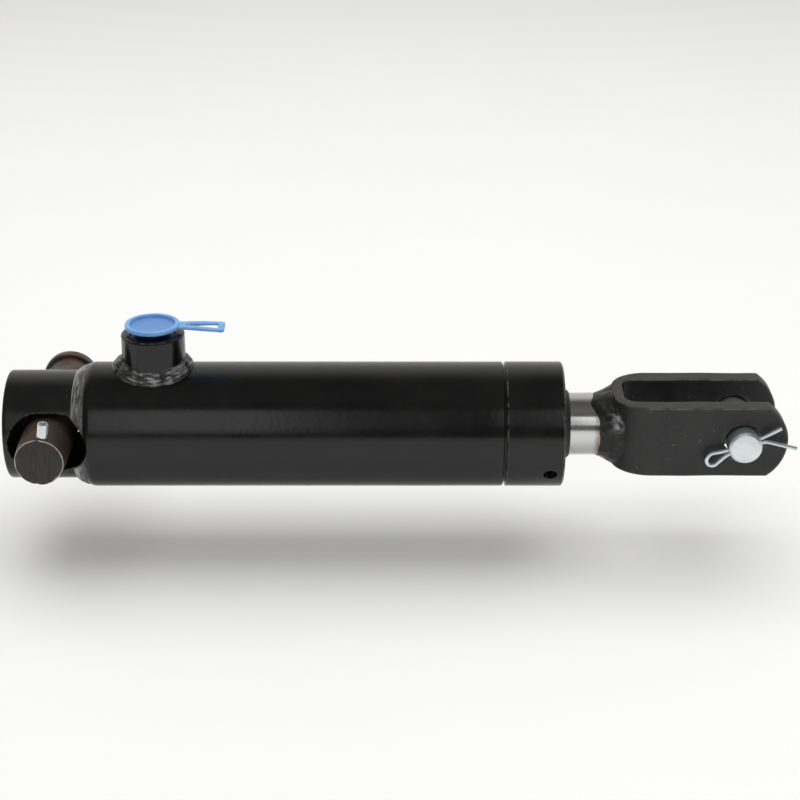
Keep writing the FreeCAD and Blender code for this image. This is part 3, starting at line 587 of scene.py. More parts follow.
def drill(piece, start, end, radius, flare=0.0):
    """Cuts a round hole out of a piece, from start to end, opening out by flare at its start."""
    start, end = Vector(start), Vector(end)
    way = (end - start).normalized()
    side = way.orthogonal().normalized()
    other = way.cross(side)
    segments = 72
    stations = ((start - way * 4, radius + flare), (start, radius + flare), (start + way * flare, radius),
                (end, radius))
    verts = []
    for centre, r in stations:
        for k in range(segments):
            turn = TAU * k / segments
            verts.append((centre + side * r * math.cos(turn) + other * r * math.sin(turn)) * MM)
    faces = [tuple(range(segments))[::-1], tuple(range(3 * segments, 4 * segments))]
    for i in range(3):
        for k in range(segments):
            a, b = i * segments + k, i * segments + (k + 1) % segments
            faces.append((a, b, b + segments, a + segments))
    mesh = bpy.data.meshes.new("cutter")
    mesh.from_pydata(verts, [], faces)
    tool = new_object("cutter", mesh)
    modifier = piece.modifiers.new("cut", "BOOLEAN")
    modifier.operation = "DIFFERENCE"
    modifier.solver = "EXACT"
    modifier.object = tool
    graph = bpy.context.evaluated_depsgraph_get()
    result = bpy.data.meshes.new_from_object(piece.evaluated_get(graph))
    piece.modifiers.clear()
    piece.data = result
    result.set_sharp_from_angle(angle=math.radians(32))
    bpy.data.objects.remove(tool)


# ------------------------------------------------------------------ base eye, tube, ring weld
def along_profile(profile):
    """A radius for any place along a profile whose places only go up."""
    def radius(x, angle=0.0):
        if x <= profile[0][0]:
            return profile[0][1]
        for (xa, ra), (xb, rb) in zip(profile, profile[1:]):
            if x <= xb:
                return ra + (rb - ra) * (x - xa) / max(xb - xa, 1e-9)
        return profile[-1][1]
    return radius


def make_eye():
    lip = 0.7
    rim = soften([(EYE_LEFT, EYE_R - 1.3), (EYE_LEFT + 0.35, EYE_R - 0.35, 0.5), (EYE_LEFT + 1.3, EYE_R),
                  (EYE_RIGHT - 0.01, EYE_R), (EYE_RIGHT, TUBE_BORE_R), (PLUG_END, TUBE_BORE_R)], 0.0, 5)
    outer = along_profile(rim)
    places = [p[0] for p in rim if p[0] < SLOT_LEFT - lip - 0.1] + [SLOT_LEFT - lip - 0.05]
    stations = plain_stations(places)
    stations.append((SLOT_LEFT, 0.0, 1.0, 0.0))
    stations += cut_stations(SLOT_LEFT, EYE_RIGHT - 0.1)
    stations += [slot_at(EYE_RIGHT - 0.02), slot_at(EYE_RIGHT)]
    stations += cut_stations(EYE_RIGHT, SLOT_RIGHT)
    stations += [(SLOT_RIGHT, 0.0, -1.0, 0.0)]
    stations += plain_stations([SLOT_RIGHT + lip + 0.05, SLOT_RIGHT + 4, PLUG_END])
    shell = slotted(stations, outer, lambda x: 0.0, lip)
    return shell.build("base_eye", EYE_PAINT, "barrel", "black_paint", ("base_cap",))


def make_tube():
    lip = 0.6
    thread_x = TUBE_RIGHT - 10.6
    outside = soften([(TUBE_LEFT, BEVEL_R), (TUBE_LEFT + BEVEL_LENGTH, TUBE_R, 5.0),
                      (TUBE_RIGHT - 1.0, TUBE_R, 0.25), (TUBE_RIGHT - 0.42, TUBE_R - 0.6, 0.12),
                      (TUBE_RIGHT - 0.4, TUBE_R - 2.0), (TUBE_RIGHT, TUBE_R - 2.0)], 0.0, 7)
    outer = along_profile(outside)
    stations = [slot_at(TUBE_LEFT)] + cut_stations(TUBE_LEFT, SLOT_RIGHT)
    stations.append((SLOT_RIGHT, 0.0, -1.0, 0.0))
    places = [SLOT_RIGHT + lip + 0.1] + [p[0] for p in outside if p[0] > SLOT_RIGHT + lip + 0.3]
    places += [24.0, 32.0, 39.0, 61.0, 70.0, 110.0, 160.0, thread_x - 0.01, thread_x]
    stations += plain_stations(sorted(places))
    shell = slotted(stations, outer, lambda x: TUBE_BORE_R if x < thread_x else 27.0, lip, 90)
    tube = shell.build("tube", BARREL_PAINT, "barrel", "black_paint", ("barrel_tube",))
    drill(tube, (PORT_X, 0, 34), (PORT_X, 0, 20), 7.0)
    return tube


def make_base_weld():
    """A ring weld of short rippled passes, cut by the slot."""
    bevel = along_profile([(TUBE_LEFT, BEVEL_R), (TUBE_LEFT + BEVEL_LENGTH, TUBE_R)])

    def outer(x, angle):
        """The bead's skin: an arch between eye and bevel, with lumps and ripples."""
        wander = 0.55 * rough_ring(26, angle, 0, 9, 3.0)
        t = (x - WELD_LEFT) / (WELD_RIGHT - WELD_LEFT)
        floor = EYE_R if x < TUBE_LEFT else bevel(x)
        arch = math.sin(math.pi * share(t)) ** 0.7
        swell = 0.75 + 0.45 * rough_ring(30, angle, x, 5, 7.0) + wander * 0.5
        streak = 0.22 * rough_ring(10, angle, 16 * t, 2.0, 27.0)
        ripple = 0.03 * crescent(t, angle * 26.0, 2.2, 0.5)
        base = EYE_R - 0.1 + (bevel(WELD_RIGHT) - EYE_R) * t
        return max(base + (swell + streak + ripple) * arch, floor - 0.3)

    def shine(x, angle):
        """Bright streaks along the bead's left half."""
        t = (x - WELD_LEFT) / (WELD_RIGHT - WELD_LEFT)
        streak = rough_ring(9, angle, 18 * t, 2.0, 27.0)
        patch = rough_ring(26, angle, 2 * t, 8.0, 51.0)
        return share((0.35 + 1.6 * streak + 1.2 * patch) * (1.15 - t))

    count = 24
    places = [WELD_LEFT + (WELD_RIGHT - WELD_LEFT) * k / count for k in range(count + 1)]
    stations = [slot_at(x) for x in places]
    shell = slotted(stations, outer, lambda x: 24.6, 0.35, 300, 2, shine)
    return shell.build("ring_weld", BRIGHT_WELD, "barrel", "weld_metal", ("base_weld_bead",), sharp=60)


# ------------------------------------------------------------------ oil port
def make_boss():
    """The turned boss, with a real thread below its lead-in."""
    top = BOSS_TOP
    mouth, core, bore = 10.6, 9.5, 7.0
    thread_top, thread_floor, bottom, pitch = 41.6, 31.0, 25.4, 1.814
    profile = soften([(bottom, bore), (bottom, BOSS_R), (top - 1.0, BOSS_R, 0.35),
                      (top - 0.25, BOSS_R - 0.75, 0.4), (top, BOSS_R - 1.6, 0.5),
                      (top, mouth + 0.9, 0.3), (top - 0.8, mouth, 0.3), (thread_top, mouth, 0.2)], 0.0, 4)
    turns = int((thread_top - thread_floor) / pitch * 10)
    run = thread_top - thread_floor - 0.4
    profile += [(thread_top - 0.2 - run * k / turns, core) for k in range(turns + 1)]
    profile += [(thread_floor, core), (thread_floor, bore)]

    def shift(z, radius, angle):
        if radius == core and thread_floor + 0.3 < z < thread_top - 0.3:
            turn = z / pitch - angle / TAU
            saw = abs(2 * (turn - math.floor(turn)) - 1)
            return z, core + 0.85 * share(saw * 1.25 - 0.12)
        if radius > BOSS_R - 0.1:
            return z, radius + 0.06 * math.sin(3 * angle) * (z - bottom) / 20
        return z, radius

    def wear(z, radius):
        return 0.35 if top - 0.8 < z < top and radius > BOSS_R - 1.2 else 0.0

    shell = lathe(profile, "Z", (PORT_X, 0, 0), 168, shift, wear, True)
    return shell.build("boss", BARREL_PAINT, "barrel", "black_paint", ("port_boss",), sharp=40)


def make_port_weld():
    """A hand-laid fillet of short overlapping passes, with streaks along it and cold laps between them."""
    shell = Shell()
    around, across = 420, 24
    starts = (0.35, 1.45, 2.30, 3.55, 4.30, 5.10, 5.95)
    rows = []
    for i in range(around):
        angle = TAU * i / around
        c, s = math.cos(angle), math.sin(angle)
        side = c * c
        gap = min(abs((angle - a + math.pi) % TAU - math.pi) for a in starts)
        lap = math.exp(-(gap / 0.07) ** 2)
        lump = rough((9 * c, 9 * s, 0), 5.0, 11.0)
        fine = rough((15 * c, 15 * s, 4), 2.2, 5.0)
        spread = BOSS_R + 0.3 + 3.5 * side ** 0.8 + 0.7 * lump + 0.25 * fine - 0.5 * lap
        if c < 0:
            spread += 1.3 * side
        foot_z = math.sqrt(TUBE_R ** 2 - (spread * s) ** 2) - 0.15
        top_z = 33.4 + 2.0 * side + 0.9 * rough((11 * c, 11 * s, 2), 5.0, 21.0) - 0.5 * lap
        head = Vector((BOSS_R * c * 0.995, BOSS_R * s * 0.995, top_z))
        foot = Vector((spread * c, spread * s, foot_z))
        run = foot - head
        out = Vector((c, s, 0)) * -run.z + Vector((0, 0, 1)) * math.hypot(run.x, run.y)
        out.normalize()
        row = []
        for j in range(across + 1):
            t = j / across
            arch = math.sin(math.pi * t)
            streak = rough((7 * c, 7 * s, 22 * t), 2.0, 31.0)
            blob = rough((18 * c, 18 * s, 9 * t), 3.4, 17.0)
            swell = arch ** 0.8 * (0.45 + 0.5 * side + 0.6 * lump - 0.7 * lap)
            swell += arch * (0.30 * streak + 0.55 * blob) + 0.04 * crescent(t, angle * 17.0, 2.1, 0.7) * arch
            point = head + run * t + out * swell
            mark = share((streak * 2.0 + blob * 1.4 + lump + 0.1 - lap) * arch)
            row.append((PORT_X + point.x, point.y, point.z, mark))
        row.append((PORT_X + foot.x, foot.y, foot.z - 1.4))
        row.append((PORT_X + BOSS_R * c * 0.96, BOSS_R * s * 0.96, 25.6))
        rows.append(row)
    shell.grid(rows, wrap_rows=True, wrap_columns=True)
    return shell.build("port_weld", WELD, "barrel", "weld_metal", ("port_weld_bead",), sharp=70)


def make_cap():
    """The shipping plug: a flange with a shallow recess over a shank, and a slotted strap that droops."""
    bottom, flange, shank, neck = low("port_cap", 2), 13.0, 10.35, 8.0
    recess, shoulder = PLUG_TOP - 1.5, bottom + 4.4
    profile = soften([(bottom, 0.0), (bottom, shank - 0.6, 0.5), (bottom + 1.0, shank, 0.6),
                      (shoulder, shank, 0.4), (shoulder + 1.2, neck, 0.4), (PLUG_UNDER, neck, 0.5),
                      (PLUG_UNDER, flange, 0.95), (PLUG_TOP, flange, 0.85),
                      (PLUG_TOP, PLUG_MOUTH_R + 0.1, 0.5), (recess, PLUG_MOUTH_R - 0.3, 0.4), (recess, 5.0),
                      (recess, 0.0)], 0.0, 6)
    shell = lathe(profile, "Z", (PORT_X, 0, 0), 144)
    shell.build("plug", PLASTIC, "port_cap", "cap_plastic", ("port_cap",), sharp=50)

    # the strap: a ring of sections between an outer outline and the pull slot's outline
    start, end, half = PORT_X + flange - 1.3, high("port_cap", 0), 5.6
    count = 96
    thick, edge = 1.3, 0.35
    outside = soften([(start, 3.9, 0), (start + 3.5, 4.0, 3), (end - 10, half - 0.35, 8), (end, half, 1.9),
                      (end, -half, 1.9), (end - 10, -half + 0.35, 8), (start + 3.5, -4.0, 3),
                      (start, -3.9, 0)], 0.0, 6, True)
    inside = soften([(start + 4.4, 0.5, 0.3), (end - 3.2, 3.1, 1.0), (end - 3.2, -3.1, 1.0),
                     (start + 4.4, -0.5, 0.3)], 0.0, 6, True)

    def even(outline):
        """The outline again as count evenly spread points."""
        loop = [Vector(p) for p in outline] + [Vector(outline[0])]
        lengths = [(b - a).length for a, b in zip(loop, loop[1:])]
        whole = sum(lengths)
        points, walked, index = [], 0.0, 0
        for k in range(count):
            goal = whole * k / count
            while walked + lengths[index] < goal:
                walked += lengths[index]
                index += 1
            points.append(loop[index].lerp(loop[index + 1], (goal - walked) / max(lengths[index], 1e-9)))
        return points

    def bearing(point):
        """The way to a point as seen from the strap's middle."""
        return math.atan2(point.y, point.x - (start + end) / 2)

    outer, inner = even(outside), even(inside)
    outer = outer[-count // 2:] + outer[:-count // 2]
    nearest = min(range(count), key=lambda k: abs(bearing(outer[0]) - bearing(inner[k])))
    inner = inner[nearest:] + inner[:nearest]
    half_section = ((edge, 0.0), (edge * 0.3, edge * 0.3), (0, edge), (0, thick - edge),
                    (edge * 0.3, thick - edge * 0.3), (edge, thick))
    rows = []
    for a, b in zip(outer, inner):
        way, reach = (b - a).normalized(), (b - a).length
        row = []
        for inset, height in half_section + tuple((reach - i, h) for i, h in reversed(half_section)):
            p = a + way * inset
            droop = 0.9 * ((p.x - start) / (end - start)) ** 2
            row.append((p.x, p.y, PLUG_UNDER + 0.1 + height - droop))
        rows.append(row)
    strap = Shell()
    strap.grid(rows, wrap_rows=True, wrap_columns=True)
    return strap.build("plug_strap", PLASTIC, "port_cap", "cap_plastic", sharp=50)


# ------------------------------------------------------------------ gland, wiper, rod weld
def make_gland():
    left = low("gland_head", 0)
    spigot, thread, bore = 24.95, 26.95, 15.3
    ring_left, ring_right, ring_floor = 198.4, 204.4, 21.7
    groove_r = high("rod_wiper", 1)
    groove_x = low("rod_wiper", 0)
    profile = soften([
        (left, bore), (left, spigot, 0.6), (ring_left, spigot), (ring_left, ring_floor),
        (ring_right, ring_floor), (ring_right, spigot), (TUBE_RIGHT - 10.0, spigot),
        (TUBE_RIGHT - 10.0, thread), (TUBE_RIGHT, thread),
        (TUBE_RIGHT, TUBE_R - 2.0), (TUBE_RIGHT + 0.4, TUBE_R - 2.0), (TUBE_RIGHT + 0.42, TUBE_R - 0.6, 0.12),
        (TUBE_RIGHT + 1.0, TUBE_R, 0.25), (TUBE_RIGHT + 1.6, TUBE_R), (GLAND_RIGHT - 2.0, TUBE_R),
        (GLAND_RIGHT - 0.9, TUBE_R, 0.5), (GLAND_RIGHT, TUBE_R - 0.9, 0.5), (GLAND_RIGHT, TUBE_R - 1.6),
        (GLAND_RIGHT, groove_r, 0.25),
        (groove_x, groove_r), (groove_x, bore)], 0.0, 5, True)

    def wear(x, r):
        at_joint = 0.5 < x - TUBE_RIGHT < 1.15 and r > TUBE_R - 0.5
        at_face = x > GLAND_RIGHT - 1.1 and r > TUBE_R - 1.1
        return 0.4 if at_joint or at_face else 0.0

    gland = lathe(profile, "X", segments=240, wear=wear, closed=True).build(
        "gland", BARREL_PAINT, "barrel", "black_paint", ("gland_head",))
    angle = math.radians(30)
    for side in (1, -1):
        out = Vector((0, -side * math.cos(angle), -side * math.sin(angle)))
        middle = Vector((237.9, 0, 0))
        drill(gland, middle + out * (TUBE_R - 0.15), middle + out * (TUBE_R - 7.5), 3.2, 0.2)
    return gland


def make_wiper():
    """The wiper ring: a rubber lip that stands out of the gland and hugs the rod."""
    groove_x, groove_r, nose_r = low("rod_wiper", 0), high("rod_wiper", 1), 17.1
    lip = ROD_R + 0.1
    profile = soften([(groove_x, lip + 1), (groove_x, groove_r), (GLAND_RIGHT - 0.5, groove_r),
                      (GLAND_RIGHT - 0.5, nose_r + 0.4, 0.3), (GLAND_RIGHT + 0.6, nose_r, 0.4),
                      (WIPER_NOSE - 1.1, nose_r - 0.7, 0.7), (WIPER_NOSE, lip + 0.3, 0.4),
                      (WIPER_NOSE - 0.5, lip, 0.2), (WIPER_NOSE - 3.0, lip + 1.0, 0.4)], 0.0, 5, True)
    return lathe(profile, "X", segments=160, closed=True).build(
        "wiper", RUBBER, "barrel", "seal_rubber", ("rod_wiper",))


def clevis_face(y):
    """Where the clevis's bent web lies along X, at a distance y from the middle."""
    run = abs(y) - (CLEVIS_HALF_WIDTH - BEND_OUTER)
    if run <= 0:
        return CLEVIS_LEFT
    return CLEVIS_LEFT + BEND_OUTER - math.sqrt(max(BEND_OUTER ** 2 - run ** 2, 0.0))


def make_rod_weld():
    """A smooth, painted, flared fillet from the rod to the bent web, with a few lumps and a run of paint."""
    shell = Shell()
    around, across = 320, 24
    begin = low("clevis_weld_bead", 0)
    rows = []
    for i in range(around):
        angle = TAU * i / around
        c, s = math.cos(angle), math.sin(angle)
        wander = rough((14 * c, 14 * s, 0), 6.5, 2.0)
        small = rough((16 * c, 16 * s, 3), 2.6, 9.0)
        to_run = (angle - math.radians(118) + math.pi) % TAU - math.pi
        run = math.exp(-(to_run / 0.30) ** 2)
        start_x = begin + 1.6 + 2.2 * max(0.0, -c) + 0.8 * wander + 0.25 * small - 3.2 * run
        start = Vector((start_x, ROD_R - 0.02))
        outer_r = 16.3 + 1.5 * s * s + 2.2 * abs(2 * s * c) + 0.3 * wander + 0.15 * small
        stop = Vector((clevis_face(outer_r * c) + 0.4, outer_r))
        hollow = Vector((stop.x - (stop.x - start.x) * 0.34, start.y + (stop.y - start.y) * 0.30 + 0.25))
        way = (stop - start).normalized()
        out = Vector((-way.y, way.x))
        row = []
        for j in range(across + 1):
            t = j / across
            p = start * (1 - t) ** 2 + hollow * 2 * t * (1 - t) + stop * t ** 2
            arch = math.sin(math.pi * t)
            lump = rough((17 * c, 17 * s, 8 * t), 5.0, 41.0)
            knob = math.exp(-(((angle - math.radians(152)) / 0.26) ** 2 + ((t - 0.62) / 0.22) ** 2))
            p = p + out * (0.25 * arch * (1 + 1.8 * lump) + 1.1 * knob * arch)
            bright = 0.5 + 2 * rough((30 * c, 30 * s, 20 * t), 3.0, 4.0)
            row.append((p.x, p.y * c, p.y * s, share(knob * 0.7 * bright)))
        for x in (stop.x + 0.2, start.x):
            row.append((x, (ROD_R - 0.6) * c, (ROD_R - 0.6) * s))
        rows.append(row)
    shell.grid(rows, wrap_rows=True, wrap_columns=True)
    return shell.build("rod_weld", ROD_WELD, "rod", "weld_metal", ("clevis_weld_bead",), sharp=70)


# ------------------------------------------------------------------ clevis
def make_clevis():
    """A flat bar with round, drilled ends, bent into the U: the ears are meshed round their holes and the
    bar's section is carried along the bends.
    """
    shell = Shell()
    edge, hole_edge, hole_r = 0.9, 0.5, 9.0
    half_bar = BAR / 2
    inset = CLEVIS_HALF_HEIGHT - edge
    near = EAR_X - CLEVIS_HALF_HEIGHT
    corner_x = EAR_X + math.sqrt(EAR_R ** 2 - CLEVIS_HALF_HEIGHT ** 2)
    corner_turn = math.atan2(CLEVIS_HALF_HEIGHT, corner_x - EAR_X)
    middle_y = CLEVIS_HALF_WIDTH - half_bar
    levels = [-inset, -inset + 0.8] + [-inset + 0.8 + (2 * inset - 1.6) * k / 14 for k in range(1, 14)]
    levels += [inset - 0.8, inset]
    quarter = [math.pi / 2 * k / 4 for k in range(1, 5)]

    def edge_wear(a):
        """Rubbed most on the crown of a rounded edge."""
        return math.sin(2 * a) ** 2

    def wobble(p):
        """Slight unevenness of a hot-rolled, hand-bent bar."""
        offset = noise.noise_vector(Vector(p) / 16.0 + Vector((5.0, 2.0, 9.0))) * 0.22
        return (p[0] + offset.x, p[1] + offset.y * 0.5, p[2] + offset.z)

    # columns round an ear: the face's edge point and the outline's normal, none where the bar goes on
    columns = []
    for k, z in enumerate(levels):
        normal = (0, -1) if k == 0 else (0, 1) if k == len(levels) - 1 else None
        columns.append(((near, z), normal))
    side_steps, arc_steps = 10, 44
    for k in range(1, side_steps):
        columns.append(((near + (corner_x - near) * k / side_steps, inset), (0, 1)))
    for k in range(arc_steps + 1):
        turn = corner_turn * (1 - 2 * k / arc_steps)
        normal = (math.cos(turn), math.sin(turn))
        columns.append(((EAR_X + (EAR_R - edge) * normal[0], (EAR_R - edge) * normal[1]), normal))
    for k in range(1, side_steps):
        columns.append(((corner_x - (corner_x - near) * k / side_steps, -inset), (0, -1)))

    for side in (-1, 1):
        rows = []
        for face, normal in columns:
            way = Vector((face[0] - EAR_X, face[1])).normalized()
            rim = Vector((EAR_X, 0)) + way * (hole_r + hole_edge)
            wall = Vector((EAR_X, 0)) + way * hole_r
            face = Vector(face)
            half_loop = [(wall, 0.0, 0.0), (wall, half_bar - hole_edge, 0.2)]
            for a in quarter:
                p = wall + way * hole_edge * (1 - math.cos(a))
                half_loop.append((p, half_bar - hole_edge + hole_edge * math.sin(a), 0.5))
            last = face - (face - rim).normalized() * 0.8
            for k in range(1, 6):
                half_loop.append((rim.lerp(last, k / 5), half_bar, 0.0))
            half_loop.append((face, half_bar, 0.1 if normal else 0.0))
            for a in quarter:
                if normal:
                    p = face + Vector(normal) * edge * math.sin(a)
                    half_loop.append((p, half_bar - edge + edge * math.cos(a), edge_wear(a)))
                else:
                    half_loop.append((face, half_bar * (1 - a), 0.0))
            outline = half_loop[-1][0]
            half_loop.append((outline, (half_bar - edge) * 0.72 if normal else 0.0, 0.0))
            loop = half_loop + [(p, -w, m) for p, w, m in reversed(half_loop[1:])]
            rows.append([wobble((p.x, side * (middle_y + w), p.y)) + (m,) for p, w, m in loop])
        first_edge = 2 + len(quarter) + 5
        last_edge = len(rows[0]) - first_edge

        def open_side(i, j, first=first_edge, last=last_edge, count=len(levels)):
            return i < count - 1 and first <= j < last

        shell.grid(rows, wrap_rows=True, wrap_columns=True, skip=open_side)

    # the bar between the ears: one closed section carried along the bends
    flank = (half_bar - edge) * 0.72

    def corner(up, out, turns):
        """One rounded corner of the section; up and out are 1 or -1."""
        return [(up * (inset + edge * math.sin(a)), out * (half_bar - edge * (1 - math.cos(a))), edge_wear(a))
                for a in turns]

    section = [(z, half_bar, 0.1 if k in (0, len(levels) - 1) else 0.0) for k, z in enumerate(levels)]
    section += corner(1, 1, quarter)
    section.append((CLEVIS_HALF_HEIGHT, flank, 0.0))
    section += [(z, -w, m) for z, w, m in reversed(section)]
    section += corner(-1, -1, quarter)
    section += [(-CLEVIS_HALF_HEIGHT, -flank, 0.0), (-CLEVIS_HALF_HEIGHT, flank, 0.0)]
    section += corner(-1, 1, reversed(quarter))
    # each frame is the bar's middle and the way outwards, as long as the bar is thick there
    outer_x, outer_y = CLEVIS_LEFT + BEND_OUTER, CLEVIS_HALF_WIDTH - BEND_OUTER
    inner_x, inner_y = CLEVIS_LEFT + WEB + BEND_INNER, CLEVIS_HALF_WIDTH - BAR - BEND_INNER
    skins = []
    for k in range(5):
        skins.append(((near + (outer_x - near) * k / 5, -CLEVIS_HALF_WIDTH),
                      (near + (inner_x - near) * k / 5, -CLEVIS_HALF_WIDTH + BAR)))
    bends = 22
    for k in range(bends + 1):
        turn = -math.pi / 2 - math.pi / 2 * k / bends
        skins.append(((outer_x + BEND_OUTER * math.cos(turn), -outer_y + BEND_OUTER * math.sin(turn)),
                      (inner_x + BEND_INNER * math.cos(turn), -inner_y + BEND_INNER * math.sin(turn))))
    skins.append(((CLEVIS_LEFT, -outer_y / 2), (CLEVIS_LEFT + WEB, -inner_y / 2)))
    skins.append(((CLEVIS_LEFT, 0.0), (CLEVIS_LEFT + WEB, 0.0)))
    frames = [(((ox + ix) / 2, (oy + iy) / 2), ((ox - ix) / BAR, (oy - iy) / BAR))
              for (ox, oy), (ix, iy) in skins]
    frames += [((x, -y), (nx, -ny)) for (x, y), (nx, ny) in reversed(frames[:-1])]
    rows = [[wobble((cx + nx * w, cy + ny * w, z)) + (m,) for z, w, m in section]
            for (cx, cy), (nx, ny) in frames]
    shell.grid(rows, wrap_columns=True)
    return shell.build("u_clevis", CLEVIS_PAINT, "rod", "clevis_black", ("clevis",), sharp=45, merge=0.01)


# ------------------------------------------------------------------ pins
def make_base_pin():
    """The headed pin: sawn and hammered at the front, turned at the side, rounded at its head."""
    lead_r, pin_r, head_r = 11.5, 12.0, high("base_pin", 0)
    lead_end, head_left = PIN_FRONT + 9.6, 53.2
    profile = soften([
        (PIN_FRONT, 0.0), (PIN_FRONT, lead_r * 0.5), (PIN_FRONT, lead_r - 0.75, 0.25),
        (PIN_FRONT + 0.5, lead_r - 0.1, 0.3), (PIN_FRONT + 1.2, lead_r, 0.3), (PIN_FRONT + 3.0, lead_r),
        (lead_end, pin_r, 3.0), (-20, pin_r), (0, pin_r), (20, pin_r), (head_left, pin_r),
        (head_left, head_r - 0.4, 0.2), (head_left + 0.5, head_r, 0.3), (PIN_REAR - 2.2, head_r, 1.6),
        (PIN_REAR - 0.2, head_r - 2.0, 1.2),
        (PIN_REAR, head_r - 4.0), (PIN_REAR, 0.0)], 0.0, 5)

    def shift(y, radius, angle):
        """The front edge is a little battered."""
        near_edge = max(0.0, 1.0 - abs(y - PIN_FRONT) / 1.3) * (1.0 if radius > lead_r - 1.0 else 0.0)
        dent = rough((6 * math.cos(angle), 6 * math.sin(angle), 0), 1.7, 13.0)
        return y + near_edge * 0.20 * dent, radius - near_edge * 0.55 * max(0.0, dent)

    def wear(y, radius):
        return 1.0 if y < PIN_FRONT + 0.6 and radius > lead_r - 0.5 else 0.0

    pin = lathe(profile, "Y", segments=220, shift=shift, wear=wear).build(
        "cross_pin", BASE_PIN, "base_pin", "pin_steel", ("base_pin",))
    way = Vector((math.sin(ROLL_PIN_LEAN), 0, math.cos(ROLL_PIN_LEAN)))
    middle = Vector((0, ROLL_PIN_Y, 0))
    drill(pin, middle + way * 13, middle - way * 13, 2.55)
    return pin


def make_roll_pin():
    """A spring pin: a rolled, slit sleeve with bevelled ends."""
    shell = Shell()
    way = Vector((math.sin(ROLL_PIN_LEAN), 0, math.cos(ROLL_PIN_LEAN)))
    side = Vector((way.z, 0, -way.x))
    cross = Vector((0, 1, 0))
    middle = Vector((0, ROLL_PIN_Y, 0))
    bottom, top, radius, wall, gap = -11.6, 18.4, 2.5, 0.9, 0.36
    arc = [gap / 2 + (TAU - gap) * k / 48 for k in range(49)]
    rows = []
    for along, out, bore in ((bottom, 0.45, 0.2), (bottom + 0.25, 0.15, 0.05), (bottom + 1.2, 0.0, 0.0),
                             (-4, 0, 0), (6, 0, 0), (top - 1.2, 0.0, 0.0), (top - 0.25, 0.15, 0.05),
                             (top, 0.45, 0.2)):
        ring = [(radius - out, a) for a in arc] + [(radius - wall + bore, a) for a in reversed(arc)]
        rows.append([tuple(middle + way * along + (side * math.cos(a) - cross * math.sin(a)) * r)
                     for r, a in ring])
    shell.grid(rows, wrap_columns=True)
    last = len(arc) - 1
    for row in (rows[0], rows[-1]):
        strip = [row[:last + 1], list(reversed(row[last + 1:]))]
        shell.grid(strip)
    return shell.build("spring_pin", SPRING, "roll_pin", "zinc_steel", ("base_roll_pin",), sharp=35)


def make_clevis_pin():
    """Zinc-plated pin: bevelled front, drilled for the cotter, flat head at the rear."""
    front, rear = low("clevis_pin", 1), high("clevis_pin", 1)
    radius, head_r = 8.0, high("clevis_pin", 2)
    head = rear - 4.0
    profile = soften([(front, 0.0), (front, 3.0), (front, radius - 1.3, 0.5),
                      (front + 0.75, radius - 0.28, 0.45), (front + 1.6, radius, 0.5), (0.0, radius),
                      (head, radius, 0.0), (head, head_r - 0.3, 0.3), (head + 0.4, head_r, 0.3),
                      (rear - 1.0, head_r, 0.8), (rear, head_r - 1.2, 0.6), (rear, 0.0)], 0.0, 5)
    pin = lathe(profile, "Y", (EAR_X, 0, 0), 180).build(
        "ear_pin", ZINC, "clevis_pin", "zinc_steel", ("clevis_pin",))
    way = Vector((math.cos(COTTER_TILT), 0, math.sin(COTTER_TILT)))
    middle = Vector((EAR_X, COTTER_Y, 0))
    drill(pin, middle - way * 9, middle + way * 9, 2.2)
    return pin


def dress_cad():
    """Materials for the CAD nodes that stay as they are."""
    for node, material in (("piston_rod", CHROME), ("cotter_pin", ZINC), ("rod_guide", IRON),
                           ("guide_lock_nut", INNER), ("guide_wear_ring", RESIN), ("gland_wear_ring", RESIN),
                           ("rod_seal", URETHANE), ("gland_o_ring", RUBBER),
                           ("gland_backup_ring", WHITE_RESIN)):
        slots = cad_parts[node].data.materials
        slots.clear()
        slots.append(material)


# ------------------------------------------------------------------ studio
def studio():
    """A pale floor, somewhat below the cylinder."""
    floor_z = low("barrel_tube", 2) * MM - 0.035
    mesh = bpy.data.meshes.new("floor")
    half = 14.0
    corners = ((-half, -half), (half, -half), (half, half), (-half, half))
    mesh.from_pydata([(x, y, floor_z) for x, y in corners], [], [(0, 1, 2, 3)])
    floor = new_object("floor", mesh)
    g = Graph("floor_paint")
    cloud = g.noise(6.0, 3.0)
    g.set("Base Color", g.mix(cloud, (0.90, 0.90, 0.90, 1.0), (0.93, 0.93, 0.93, 1.0)))
    g.set("Roughness", 0.75)
    mesh.materials.append(g.material)


def softbox(name, at, aim, size, power, glossy=True, size_y=None):
    light = bpy.data.lights.new(name, "AREA")
    light.shape = "RECTANGLE"
    light.size = size
    light.size_y = size_y or size
    light.energy = power
    lamp = new_object(name, light)
    lamp.location = at
    lamp.rotation_euler = (Vector(aim) - Vector(at)).to_track_quat("-Z", "Y").to_euler()
    lamp.visible_glossy = glossy


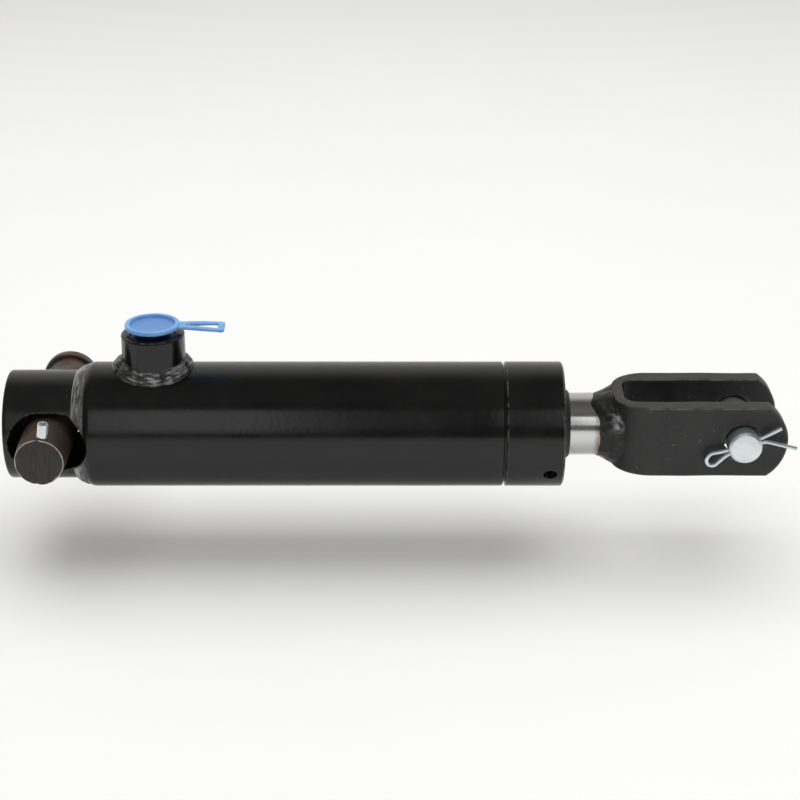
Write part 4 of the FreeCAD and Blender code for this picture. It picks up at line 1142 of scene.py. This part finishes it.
def sky():
    """A white backdrop behind, a dim ceiling and a dark room in front: the gloss shows them as bands."""
    world = bpy.data.worlds.new("studio_sky")
    bpy.context.scene.world = world
    g = Tree(world, "Generated")
    turn = g.math("ARCTAN2", g.axis("Z"), g.math("MULTIPLY", g.axis("Y"), -1.0))
    ramp = g.tree.nodes.new("ShaderNodeValToRGB")
    g.put(ramp.inputs[0], g.math("DIVIDE", turn, math.pi))
    stops = ((0.0, 0.10), (0.30, 0.10), (0.38, 0.16), (0.62, 0.10), (0.70, 0.40), (0.76, 0.66), (1.0, 0.80))
    ramp.color_ramp.elements[0].position = stops[0][0]
    ramp.color_ramp.elements[-1].position = stops[-1][0]
    for position, value in stops[1:-1]:
        ramp.color_ramp.elements.new(position)
    for element, (position, value) in zip(ramp.color_ramp.elements, stops):
        element.color = (value, value * 0.985, value * 0.95, 1.0)
    back = g.add("ShaderNodeBackground", {"Color": ramp.outputs[0], "Strength": 1.0})
    g.add("ShaderNodeOutputWorld", {"Surface": back})


def camera():
    elevation = math.radians(24.0)
    distance = 0.940
    middle = Vector((0.1668, 0.0, 0.0))
    upward = Vector((0.0, math.sin(elevation), math.cos(elevation)))
    target = middle + upward * 0.01133
    data = bpy.data.cameras.new("camera")
    data.lens = 87.75
    data.sensor_width = 36.0
    data.clip_end = 100.0
    cam = new_object("camera", data)
    cam.location = target + Vector((0.0, -math.cos(elevation), math.sin(elevation))) * distance
    cam.rotation_euler = (math.radians(90.0) - elevation, 0.0, 0.0)
    bpy.context.scene.camera = cam


def lights():
    """Even light from above that gloss can't see, and front panels that gloss shows as bands."""
    softbox("overhead", (0.17, 0.15, 1.6), (0.17, 0.0, 0.0), 2.4, 38.0, glossy=False)
    softbox("front_panel", (-0.12, -1.30, 0.72), (-0.12, 0.0, 0.25), 0.30, 1.2, size_y=1.15)
    softbox("front_fade", (-0.06, -1.32, 0.80), (-0.06, 0.0, 0.25), 0.46, 0.35, size_y=0.9)
    softbox("rod_panel", (0.47, -0.90, 0.60), (0.36, 0.0, 0.0), 0.22, 0.7, size_y=0.60)


for make in (make_eye, make_tube, make_base_weld, make_boss, make_port_weld, make_cap, make_gland, make_wiper,
             make_rod_weld, make_clevis, make_base_pin, make_roll_pin, make_clevis_pin):
    make()
dress_cad()
studio()
lights()
sky()
camera()
bpy.context.scene.view_settings.view_transform = "Standard"
